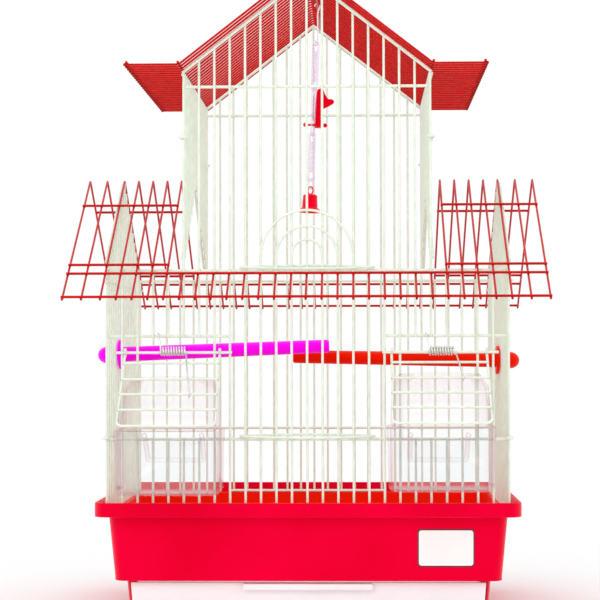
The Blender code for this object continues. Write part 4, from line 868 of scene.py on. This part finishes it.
SPRING_STEEL = spring_steel()
for side_name in SIDES:
    down, outward = flap_axes(side_name)
    start = SPRING_START[side_name]
    axis = Vector((start, HINGE_Y, HINGE_Z + SPRING_R - SPRING_WIRE_R - HINGE_R - FIT))
    upper = (start - SPRING_UPPER_LEAN, FRONT_CROSS_Y, FEEDER_TOP_Z)
    points = arc(upper, Y_AXIS, Z_AXIS, CROSS_R + SPRING_WIRE_R + SPRING_CLEAR, 20, 180, 12)
    points.append(Vector((start, HINGE_Y - SPRING_R, HINGE_Z + SPRING_RISE)))
    steps = SPRING_TURNS * SPRING_POINTS
    coil = arc(axis, Y_AXIS, Z_AXIS, SPRING_R, 180, 180 + 360 * SPRING_TURNS, steps)
    coil = [p + X_AXIS * (SPRING_PITCH * k / SPRING_POINTS) for k, p in enumerate(coil)]
    end_x = coil[-1].x + SPRING_WIRE_R
    hinge = Vector((end_x, HINGE_Y, HINGE_Z))
    rung = FLAP_RUNGS[SPRING_RUNG[side_name]]
    first = FLAP_RUNGS[0] / 2
    rest = BAR_R + SPRING_WIRE_R + SPRING_CLEAR
    above = 2 * BAR_R - WELD + rest
    lean = X_AXIS * SPRING_LEAN
    points += [*coil, coil[-1] + X_AXIS * SPRING_WIRE_R - Z_AXIS * SPRING_DROP]
    points.append(hinge + down * first + outward * (above + FIT) + lean * first / rung)
    rung_centre = hinge + lean + down * rung + outward * (2 * BAR_R - WELD)
    points += arc(rung_centre, outward, down, rest, 0, 150, 10)
    spring = drawn(f"{side_name}_spring_coil", [(points, SPRING_WIRE_R)], [], SPRING_STEEL, 8)
    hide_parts(f"{side_name}_flap_spring")
    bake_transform(spring)


# The feeders are clear injection-moulded polystyrene: a cup with a thick band round its mouth, a
# hood that stands on it under the flap, and a bent rod for the bird to stand on inside.
CUP_MOUTH = (39.2 * MM, 57.5 * MM)
CUP_STEP = 0.8 * MM
CUP_BODY = (CUP_MOUTH[0] - CUP_STEP, CUP_MOUTH[1] - CUP_STEP)
CUP_FOOT = (38 * MM, 53 * MM)
CUP_HEIGHT = 46.9 * MM
CUP_TOP_Z = {"left": 143.3 * MM, "right": 146 * MM}
CUP_BAND = 9 * MM
CUP_CHAMFER = 2 * MM
CUP_WALL = 1.6 * MM
CUP_EDGE = 1.2 * MM
CUP_CORNER = 13 * MM
CUP_CORNER_STEPS = 7
CUP_FLOOR_INSET = 8 * MM
CUP_FLOOR_BACK = 6 * MM
CUP_BACK_Y = BAR_FACE_Y - FIT
NOTCH_MARGIN = 5 * MM
NOTCH_OVER = 1 * MM
HOOD_HEIGHT = 38.5 * MM
HOOD_HALF = 36.5 * MM
HOOD_SHOULDER_HALF = 35.5 * MM
HOOD_TOP_HALF = 30 * MM
HOOD_LEVELS = ((0, HOOD_HALF), (0.1, HOOD_HALF), (0.75, HOOD_SHOULDER_HALF), (1, HOOD_TOP_HALF))
HOOD_SETBACK = 3 * MM
HOOD_CROWN = 1.2 * MM
HOOD_CUTS = 9
HOOD_TOP_SHARE = 0.99
HOOD_BACK_FLAT = 1 * MM
HOOD_EDGE = 1.6 * MM
HOOD_EDGE_ANGLE = math.radians(50)
RAIL_HALF = 21.5 * MM
RAIL_R = 1.85 * MM
RAIL_Z = LOW_CROSS_Z + CROSS_R + RAIL_R + FIT / 2
RAIL_DROP = 20 * MM
RAIL_REACH = 26 * MM
RAIL_HOOK = 3 * MM
RAIL_BEND = 2.5 * MM


def see_through(name, face_colour, edge_colour, haze_colour, haze):
    """Thin clear plastic: light passes straight through a wall and takes its colour where it runs
    along the wall. For the clear polystyrene that edge colour is a painted reflection of the red
    base. The skin mirrors, and the flow of the melt clouds it by up to 'haze'."""
    made, tree, clouded = fresh(name)
    feed(clouded, {"Base Color": linear(haze_colour), "Roughness": 0.4})
    place = add(tree, "ShaderNodeTexCoord", output="Object")
    melt = add(tree, "ShaderNodeTexNoise", {"Vector": place, "Scale": 1 / (14 * MM), "Detail": 3})
    skin = add(tree, "ShaderNodeMapRange", {"Value": melt, "To Min": 0.04, "To Max": 0.15})
    mirror = add(tree, "ShaderNodeBsdfGlossy", {"Roughness": skin})
    along = add(tree, "ShaderNodeLayerWeight", {"Blend": 0.2}, "Facing")
    colours = {0: along, 6: linear(face_colour), 7: linear(edge_colour)}
    tint = add(tree, "ShaderNodeMix", colours, 2, data_type="RGBA")
    through = add(tree, "ShaderNodeBsdfTransparent", {"Color": tint})
    shine = {"Value": along, "From Min": 0.2, "To Min": 0.04, "To Max": 0.5}
    bright = add(tree, "ShaderNodeMapRange", shine)
    clear = add(tree, "ShaderNodeMixShader", {0: bright, 1: through, 2: mirror})
    cloud = {"Value": melt, "From Min": 0.35, "From Max": 0.65}
    cloud |= {"To Min": 0.4 * haze, "To Max": haze}
    share = add(tree, "ShaderNodeMapRange", cloud)
    mix = add(tree, "ShaderNodeMixShader", {0: share, 1: clear, 2: clouded.outputs[0]})
    feed(tree.nodes["Material Output"], {"Surface": mix})
    return made


# Clear general-purpose polystyrene; the pink, darker tint of its walls edge on is a painted
# reflection of the red base
CLEAR_PLASTIC = see_through("clear polystyrene", "#feffff", "#f6dce2", "#f4f6f0", 0.02)


def cup_level(size, inset, z, back=0.0):
    """A cup outline as one vector: half width, depth, front corners, height, gap at the back."""
    return Vector((size[0] - inset, size[1] - inset, CUP_CORNER - (back or inset), z, back))


def cup_chain(x, half, depth, corner, z, back_gap=0.0):
    """Points from the right back corner round the front to the left back corner."""
    back, front = CUP_BACK_Y - back_gap, CUP_BACK_Y - depth
    turns = (x + half - corner, X_AXIS, -Y_AXIS), (x - half + corner, -Y_AXIS, -X_AXIS)
    chain = [(x + half, back, z)]
    for turn_x, first, second in turns:
        centre = (turn_x, front + corner, z)
        chain += arc(centre, first, second, corner, 0, 90, CUP_CORNER_STEPS)
    return [*chain, (x - half, back, z)]


for side_name, x in FEEDER_X.items():
    top = CUP_TOP_Z[side_name]
    foot = top - CUP_HEIGHT
    cup_levels = [
        cup_level(CUP_FOOT, CUP_FLOOR_INSET, foot, CUP_FLOOR_BACK),
        cup_level(CUP_FOOT, CUP_CHAMFER, foot),
        cup_level(CUP_FOOT, 0, foot + CUP_CHAMFER),
        cup_level(CUP_BODY, 0, top - CUP_BAND),
        cup_level(CUP_MOUTH, 0, top - CUP_BAND + FIT),
        cup_level(CUP_MOUTH, 0, top),
        cup_level(CUP_BODY, CUP_WALL, top, CUP_WALL),
        cup_level(CUP_FOOT, CUP_WALL, foot + CUP_WALL, CUP_WALL),
        cup_level(CUP_FOOT, CUP_FLOOR_INSET, foot + CUP_WALL, CUP_FLOOR_BACK),
    ]
    bm = lofted([cup_chain(x, *size) for size in rounded(cup_levels, CUP_EDGE)])
    cup = thing(f"{side_name}_cup_clear", bm, CLEAR_PLASTIC)
    reach = RAIL_HALF + NOTCH_MARGIN
    notch = upright(x - reach, x + reach, LOW_CROSS_Z + CROSS_R, top + NOTCH_OVER)
    carve(cup, slab(notch, CUP_BACK_Y - 2 * CUP_WALL, CUP_BACK_Y + 2 * CUP_WALL))
    stands_for(cup, "cage", "clear_plastic", f"{side_name}_feeder_cup")

    hood_z = top + FIT
    angle = FLAP_ANGLES[side_name]
    clear = (2 * BAR_R + FIT) / math.cos(angle)
    chains = []
    for share, half in HOOD_LEVELS:
        z = hood_z + share * HOOD_HEIGHT
        slope_y = HINGE_Y - (HINGE_Z - z - clear) / math.tan(angle)
        depth = min(CUP_BACK_Y - slope_y, CUP_MOUTH[1] - HOOD_SETBACK)
        chains.append(cup_chain(x, half, depth, min(CUP_CORNER, depth - HOOD_BACK_FLAT), z))
    bm = bmesh.new()
    rows = ringed(bm, chains, closed=False)
    bm.faces.new(reversed(rows[-1]))
    across = [e for e in bm.edges if abs(e.verts[0].co.x - e.verts[1].co.x) > HOOD_TOP_HALF]
    bmesh.ops.subdivide_edges(bm, edges=across, cuts=HOOD_CUTS, use_grid_fill=True)
    for vertex in bm.verts:
        if vertex.co.z > hood_z + HOOD_TOP_SHARE * HOOD_HEIGHT:
            vertex.co.z -= HOOD_CROWN * ((vertex.co.x - x) / HOOD_TOP_HALF) ** 2
    bmesh.ops.recalc_face_normals(bm, faces=bm.faces)
    roof_face = max(bm.faces, key=lambda face: face.calc_center_median().z)
    if roof_face.normal.z < 0:
        bmesh.ops.reverse_faces(bm, faces=bm.faces)
    hood = thing(f"{side_name}_hood_clear", bm, CLEAR_PLASTIC)
    bevel = hood.modifiers.new("edges", "BEVEL")
    bevel.width = HOOD_EDGE
    bevel.segments = 3
    bevel.angle_limit = HOOD_EDGE_ANGLE
    shell = hood.modifiers.new("wall", "SOLIDIFY")
    shell.thickness = CUP_WALL
    shell.offset = -1
    shell.use_even_offset = True
    stands_for(settle(hood), "cage", "clear_plastic", f"{side_name}_feeder_hood")

    start_y = CUP_BACK_Y - CUP_WALL - RAIL_HOOK
    over_y = FRONT_CROSS_Y + RAIL_HOOK
    end = (FRONT_CROSS_Y + RAIL_REACH, RAIL_Z - RAIL_DROP)
    leg = [(x + RAIL_HALF, y, z) for y, z in ((start_y, RAIL_Z), (over_y, RAIL_Z), end)]
    other = [(x - RAIL_HALF, y, z) for _, y, z in reversed(leg)]
    rod = rounded([*leg, *other], RAIL_BEND, 5)
    rail = drawn(f"{side_name}_rail_clear", [(rod, RAIL_R)], [], CLEAR_PLASTIC, 16)
    stands_for(rail, "cage", "clear_plastic", f"{side_name}_feeder_rail")


# The perches are moulded polypropylene rods with a flange that stands against the side wall. A
# stud passes between two bars, and a domed knob screws onto it from outside.
PERCHES = {
    "left": {"gap": 5, "z": 198.4 * MM, "length": 164 * MM, "rise": 6.2 * MM, "flange": 11.5 * MM},
    "right": {"gap": 7, "z": 193.4 * MM, "length": 162 * MM, "rise": 3 * MM, "flange": 11.2 * MM},
}
PERCH_R = 5.8 * MM
PERCH_TIP_R = 5.1 * MM
PERCH_TIP_EDGE = 1 * MM
FLANGE_THICK = 2.5 * MM
STUD_R = 2.5 * MM
STUD_LENGTH = 9 * MM
KNOB_R = 6.5 * MM
KNOB_LENGTH = 13.2 * MM
KNOB_DOME = 0.55 * KNOB_LENGTH
DOME_STEPS = 9

# Opaque polypropylene rods with a satin skin, one magenta and one orange-red
perch_skin = (0.35, 0.7 * MM, 0.03 * MM)
PERCH_LOOKS = {
    "left": (
        moulded("magenta polypropylene", "#ff04fa", "#fc00ee", *perch_skin, gleam="#ff50ee"),
        "magenta_perch",
    ),
    "right": (
        moulded("red polypropylene", "#ee1600", "#e21400", *perch_skin, gleam="#ff5030"),
        "scarlet_plastic",
    ),
}


def lathe(name, profile, matrix, material, sides=32, edge=0.4 * MM):
    """A solid turned about its Z axis from (radius, height) points that start and end on it, and
    then put in its place."""
    bm = bmesh.new()
    rings = [
        arc((0, 0, height), X_AXIS, Y_AXIS, radius, 0, 360, sides)[:-1]
        for radius, height in rounded(profile, edge, 2)[1:-1]
    ]
    rows = ringed(bm, [[matrix @ p for p in ring] for ring in rings])
    for row, (_, height) in ((rows[0], profile[0]), (rows[-1], profile[-1])):
        pole = bm.verts.new(matrix @ Vector((0, 0, height)))
        for i in range(sides):
            bm.faces.new((row[i], row[(i + 1) % sides], pole))
    bmesh.ops.recalc_face_normals(bm, faces=bm.faces)
    return thing(name, bm, material)


for side_name, side in SIDES.items():
    sizes = PERCHES[side_name]
    plastic, slot = PERCH_LOOKS[side_name]
    length, flange = sizes["length"], sizes["flange"]
    lean = math.atan2(sizes["rise"], length)
    slack = flange * math.tan(lean)
    y = -HALF_DEPTH + (sizes["gap"] + 0.5) * SIDE_PITCH
    x = side * (HALF_WIDTH - BAR_R - FIT - slack)
    profile = [
        (0, -STUD_LENGTH), (STUD_R, -STUD_LENGTH), (STUD_R, 0), (flange, 0),
        (flange, FLANGE_THICK), (PERCH_R, FLANGE_THICK), (PERCH_TIP_R, length - PERCH_TIP_EDGE),
        (PERCH_TIP_R - PERCH_TIP_EDGE, length), (0, length),
    ]
    turn = Matrix.Rotation(-side * (math.pi / 2 - lean), 4, "Y")
    matrix = Matrix.Translation((x, y, sizes["z"])) @ turn
    perch = lathe(f"{side_name}_perch_rod", profile, matrix, plastic)
    stands_for(perch, "cage", slot, f"{side_name}_perch")
    bore = STUD_R + FIT
    profile = [(0, STUD_LENGTH), (bore, STUD_LENGTH), (bore, 0), (KNOB_R, 0)]
    for k in range(DOME_STEPS):
        a = math.pi / 2 * k / DOME_STEPS
        profile.append((KNOB_R * math.cos(a), KNOB_LENGTH - KNOB_DOME + KNOB_DOME * math.sin(a)))
    profile.append((0, KNOB_LENGTH))
    back_off = 2 * (BAR_R + FIT + slack)
    spot = (x + side * back_off * math.cos(lean), y, sizes["z"] - back_off * math.sin(lean))
    turn = Matrix.Rotation(side * (math.pi / 2 + lean), 4, "Y")
    matrix = Matrix.Translation(spot) @ turn
    knob = lathe(f"{side_name}_knob_dome", profile, matrix, plastic)
    stands_for(knob, "cage", slot, f"{side_name}_perch_knob")


# The toy hangs on a thin white hook over the roof wire: three long links of tinted clear plastic,
# a red parrot on a pin, and a bell on a ring. All of it is moulded and clipped together by hand.
TOY_TILT = math.radians(2.3)
TOY_FIT = 0.6 * MM
TOY_HOOK_R = 0.6 * MM
TOY_HOOK_LENGTH = 32 * MM
TOY_HOOK_SHIFT = 0.4 * MM
TOY_HOOK_NECK = 6 * MM
LINK_R = 0.8 * MM
LINK_HALF = 2.4 * MM
LINK_LENGTH = 40.3 * MM
LINK_TURNS = (-30, 60, -30)
LINK_EYE = 7 * MM
LINK_RUN = LINK_LENGTH - 2 * LINK_R
WEB_THICK = 0.6 * MM
PIN_LINK = 2
PIN_R = 0.9 * MM
PIN_UP = 8.6 * MM
PIN_ENDS = (-5.8 * MM, 9.5 * MM)
PIN_BALLS = (-6.1 * MM, 9.8 * MM)
BIRD_THICK = 3 * MM
BIRD_BEND = 1.4 * MM
BIRD_EDGE = 0.7 * MM
BIRD_OUTLINE = [
    (0.9, -1.9), (7.2, -1.9), (7.4, 6), (7.2, 13.6), (11, 15.2), (16, 18.4), (16.4, 20.4),
    (14.4, 22), (11.4, 21.6), (8.8, 25.5), (7.2, 29.6), (4.6, 30.4), (2.2, 29), (1.2, 20),
]  # in millimetres, from the pin
BIRD_FOOT_X = (4.2 * MM, 7.1 * MM)
BIRD_FOOT_REACH = 1.2 * MM
RING_R = 3.2 * MM
RING_LENGTH = 8.4 * MM
RING_WIRE_R = 0.6 * MM
BELL_R = 8.9 * MM
BELL_WAIST = 6.3 * MM
BELL_HEIGHT = 14.8 * MM
BELL_CROWN = 4.2 * MM
BELL_CROWN_THICK = 2.2 * MM
BELL_WALL = 1.1 * MM
BELL_FLARE = 4 * MM
BELL_LIP = 1.8 * MM
BELL_EYE_HALF = 2.4 * MM
BELL_EYE_LENGTH = 6 * MM
CLAPPER_PROFILE = [
    (0, 0), (1.2, 0), (1.2, -0.8), (0.7, -1), (0.7, -6.4),
    (1.7, -7.4), (1.9, -8.4), (1.3, -9.9), (0, -10.4),
]  # in millimetres, from its pivot
TOY_TOP = Vector((TOY_WIRE_X, -TOP_ROOF_PITCH / 2, TOY_WIRE_Z))
TOY_DOWN = Vector((-math.sin(TOY_TILT), 0, -math.cos(TOY_TILT)))

# Tinted clear plastic: lilac where two walls overlap, nearly white where one does
LILAC_PLASTIC = see_through("lilac clear plastic", "#fcf6fd", "#ecd8f1", "#fbeefc", 0.3)
# Glossy hard polystyrene of the parrot and the bell, which mirrors the room with a pink gleam
TOY_RED = moulded(
    "scarlet polystyrene", "#f00028", "#e00018", 0.22, 0.6 * MM, 0.02 * MM, 12 * MM, 1.57,
    "#ff3050",
)
# Tough white nylon, which a hook this thin needs
TOY_WHITE = moulded("white nylon hook", "#f4f2f3", "#ece9eb", 0.35, 0.6 * MM, 0.02 * MM, ior=1.53)


def toy_matrix(distance, turn):
    """The place of a chain piece at a distance down from the wire that the toy hangs on."""
    spin = Matrix.Rotation(TOY_TILT, 4, "Y") @ Matrix.Rotation(math.radians(turn), 4, "Z")
    return Matrix.Translation(TOY_TOP + TOY_DOWN * distance) @ spin


def link_pivot(number):
    """How far down each chain pivot lies: the hook's loop for link 1, then each lower bend."""
    if number == 1:
        return TOY_HOOK_LENGTH - TOY_HOOK_R
    upper_r = TOY_HOOK_R if number == 2 else LINK_R
    return link_pivot(number - 1) + LINK_RUN - (LINK_R + TOY_FIT + upper_r)


def hanging_ring(name, place, half, length, lift, radius, material, sides):
    """A long ring of round rod that starts a little above its pivot and hangs down."""
    run = arc((0, 0, lift - half), X_AXIS, Z_AXIS, half, 0, 180, 12)
    run += arc((0, 0, lift - length + half), X_AXIS, Z_AXIS, half, 180, 360, 12)
    return drawn(name, [([place @ p for p in run], radius, True)], [], material, sides)


def block(place, low, high):
    """A bmesh of a box between two corners, put in its place."""
    made = bmesh.new()
    spot = Matrix.LocRotScale((low + high) / 2, None, high - low)
    bmesh.ops.create_cube(made, size=1, matrix=place @ spot)
    return made


facing = Matrix.Rotation(math.radians(LINK_TURNS[0] + 90), 3, "Z") @ X_AXIS
loop_r = LINK_R + TOY_FIT + TOY_HOOK_R + TOY_HOOK_SHIFT
points = arc((0, 0, 0), X_AXIS, Z_AXIS, STRINGER_R + FIT + TOY_HOOK_R, 200, -10, 16)
points.append(Vector((TOY_HOOK_SHIFT, 0, -TOY_HOOK_NECK)))
points.append(facing * loop_r - Z_AXIS * (TOY_HOOK_LENGTH - TOY_HOOK_NECK))
points += arc((0, 0, loop_r - TOY_HOOK_LENGTH), facing, -Z_AXIS, loop_r, 0, 240, 16)
place = toy_matrix(0, 0)
hook = drawn("toy_hook_wire", [([place @ p for p in points], TOY_HOOK_R)], [], TOY_WHITE, 10)
stands_for(hook, "hook", "white_plastic", "toy_hook")

for number, turn in enumerate(LINK_TURNS, start=1):
    lift = LINK_R + TOY_FIT + (TOY_HOOK_R if number == 1 else LINK_R)
    place = toy_matrix(link_pivot(number), turn)
    sizes = (LINK_HALF, LINK_RUN, lift, LINK_R)
    link = hanging_ring(f"lilac_link_{number}", place, *sizes, LILAC_PLASTIC, 14)
    web_foot = PIN_UP + LINK_EYE / 2 if number == PIN_LINK else LINK_EYE
    corner = Vector((LINK_HALF, WEB_THICK / 2, lift - LINK_EYE))
    low = Vector((-LINK_HALF, -WEB_THICK / 2, lift - LINK_RUN + web_foot))
    carve(link, block(place, low, corner), "UNION")
    stands_for(link, f"link_{number}", "lilac_plastic", f"toy_link_{number}")

place = toy_matrix(link_pivot(3) - PIN_UP, 0)
outline = [Vector(p) * MM for p in BIRD_OUTLINE]
outline = rounded([*outline, outline[0], outline[1]], BIRD_BEND)[1:-1]
back = LINK_HALF * math.sin(math.radians(LINK_TURNS[1])) + LINK_R + FIT
faces = [[place @ Vector((x, y, z)) for x, z in outline] for y in (back, back + BIRD_THICK)]
bird = soften(thing("red_parrot", lofted(faces), TOY_RED), BIRD_EDGE, 3)
reach = PIN_R + BIRD_FOOT_REACH
low = Vector((BIRD_FOOT_X[0], -reach, -reach))
high = Vector((BIRD_FOOT_X[1], back + BIRD_THICK / 2, reach))
carve(bird, block(place, low, high), "UNION")
stands_for(shade(bird), "link_2", "scarlet_plastic", "toy_bird")

run = [place @ (X_AXIS * x) for x in PIN_ENDS]
balls = [(place @ (X_AXIS * x), 2 * PIN_R) for x in PIN_BALLS]
pin = drawn("toy_pin_rod", [(run, PIN_R)], balls, TOY_RED)
stands_for(pin, "link_2", "scarlet_plastic", "toy_pin")

ring_lift = LINK_R + TOY_FIT + RING_WIRE_R
sizes = (RING_R, RING_LENGTH, ring_lift, RING_WIRE_R)
place = toy_matrix(link_pivot(4), LINK_TURNS[1])
ring = hanging_ring("bell_ring_wire", place, *sizes, LILAC_PLASTIC, 10)
stands_for(ring, "ring", "lilac_plastic", "bell_ring")

bell_pivot = link_pivot(4) + RING_LENGTH - ring_lift
place = toy_matrix(bell_pivot, LINK_TURNS[0])
top = -BELL_CROWN
low = top - BELL_HEIGHT
inner = top - BELL_CROWN_THICK
profile = [
    (0, top), (BELL_WAIST - 2 * BELL_WALL, top), (BELL_WAIST - BELL_WALL / 2, top - BELL_WALL),
    (BELL_WAIST, low + BELL_FLARE), (BELL_R, low + BELL_LIP), (BELL_R, low),
    (BELL_R - BELL_WALL, low), (BELL_WAIST - BELL_WALL / 2, low + BELL_LIP),
    (BELL_WAIST - BELL_WALL, low + BELL_FLARE), (BELL_WAIST - 2 * BELL_WALL, inner), (0, inner),
]
bell = lathe("red_bell", profile, place, TOY_RED, 40)
sizes = (BELL_EYE_HALF, BELL_EYE_LENGTH, 2 * RING_WIRE_R + TOY_FIT, RING_WIRE_R)
eyelet = hanging_ring("bell_eyelet", place, *sizes, TOY_RED, 10)
bm = bmesh.new()
for part in (bell, eyelet):
    bm.from_mesh(part.data)
bm.to_mesh(bell.data)
bm.free()
bpy.data.objects.remove(eyelet)
stands_for(bell, "bell_shell", "scarlet_plastic", "bell")

profile = [(radius * MM, height * MM) for radius, height in CLAPPER_PROFILE]
place = toy_matrix(bell_pivot + BELL_CROWN + BELL_CROWN_THICK + FIT, 0)
clapper = lathe("bell_clapper_drop", profile, place, TOY_RED, 20, 0.3 * MM)
stands_for(clapper, "clapper", "scarlet_plastic", "bell_clapper")


# The floor is a plain pale sweep. It keeps the cage's shadow close by and turns to plain white
# further off, and the world behind it is white too.
FLOOR_HALF = 6.0
SHADOW_REACH = (0.2, 0.55)
ROOM_LIGHT = 0.93
WHITE = (1, 1, 1, 1)


def seen_directly(tree):
    """One where the camera, a reflection or a clear piece sees the surface, nought for light."""
    path = add(tree, "ShaderNodeLightPath").node.outputs
    sight = {0: path["Is Camera Ray"], 1: path["Is Glossy Ray"]}
    seen = add(tree, "ShaderNodeMath", sight, operation="MAXIMUM")
    clear = {0: seen, 1: path["Is Transmission Ray"]}
    return add(tree, "ShaderNodeMath", clear, operation="MAXIMUM")


# Matt white wall paint, and plain light in its place where the shadow has ended
sweep, tree, shader = fresh("pale painted floor")
feed(shader, {"Base Color": linear("#f6f5f5"), "Roughness": 0.8})
place = add(tree, "ShaderNodeTexCoord", output="Object")
away = add(tree, "ShaderNodeVectorMath", {0: place}, "Value", operation="LENGTH")
limits = {"Value": away, "From Min": SHADOW_REACH[0], "From Max": SHADOW_REACH[1]}
far = add(tree, "ShaderNodeMapRange", limits)
share = add(tree, "ShaderNodeMath", {0: seen_directly(tree), 1: far}, operation="MULTIPLY")
white = add(tree, "ShaderNodeEmission", {"Strength": 1.0})
mix = add(tree, "ShaderNodeMixShader", {0: share, 1: shader.outputs[0], 2: white})
feed(tree.nodes["Material Output"], {"Surface": mix})

bm = bmesh.new()
spot = Matrix.Translation((0, 0, -FIT))
bmesh.ops.create_grid(bm, x_segments=1, y_segments=1, size=FLOOR_HALF, matrix=spot)
floor = thing("floor", bm, sweep, smooth=False)

world = bpy.data.worlds.new("white studio")
bpy.context.scene.world = world
world.use_nodes = True
tree = world.node_tree
room = tree.nodes["Background"]
feed(room, {"Strength": ROOM_LIGHT, "Color": WHITE})
bright = add(tree, "ShaderNodeBackground", {"Color": WHITE, "Strength": 1.0})
mix = {0: seen_directly(tree), 1: room.outputs[0], 2: bright}
feed(tree.nodes["World Output"], {"Surface": add(tree, "ShaderNodeMixShader", mix)})


# Three large soft boxes light the cage: the key from the upper left, a fill from the right and one
# overhead. Each is given by its place, its width and its power in watts.
AIM = Vector((0, 0, 0.22))
BOXES = {
    "key": ((-1.1, -1.8, 1.3), 1.2, 10),
    "fill": ((1.5, -1.4, 0.7), 1.2, 4),
    "overhead": ((0.1, -0.1, 1.9), 1.3, 5),
}
for name, (spot, width, power) in BOXES.items():
    light = bpy.data.lights.new(name, "AREA")
    light.size = width
    light.energy = power
    lamp = placed(name, light)
    lamp.location = spot
    lamp.rotation_euler = (AIM - Vector(spot)).to_track_quat("-Z", "Y").to_euler()


# The camera stands 1.63 m in front of the cage at the height of the feeders, turned a little left
# and up, with the lens that the walls' front and back edges give.
FRAME_PX = 600
FOCAL_PX = 2026
SENSOR_WIDTH = 36
EYE = Vector((39.5, -1627, 200)) * MM
ROLL = math.radians(-0.12)
LOOK_FROM_DEPTH_PX = (60, 52)  # from the point where lines along Y meet to the frame's middle

lens = bpy.data.cameras.new("camera")
lens.sensor_width = SENSOR_WIDTH
lens.lens = SENSOR_WIDTH * FOCAL_PX / FRAME_PX
camera = placed("camera", lens)
camera.location = EYE
turn_left, turn_up = (math.atan(px / FOCAL_PX) for px in LOOK_FROM_DEPTH_PX)
aimed = Euler((math.pi / 2 + turn_up, 0, turn_left)).to_matrix()
camera.rotation_euler = (aimed @ Matrix.Rotation(ROLL, 3, "Z")).to_euler()
bpy.context.scene.camera = camera
bpy.context.scene.view_settings.view_transform = "Standard"
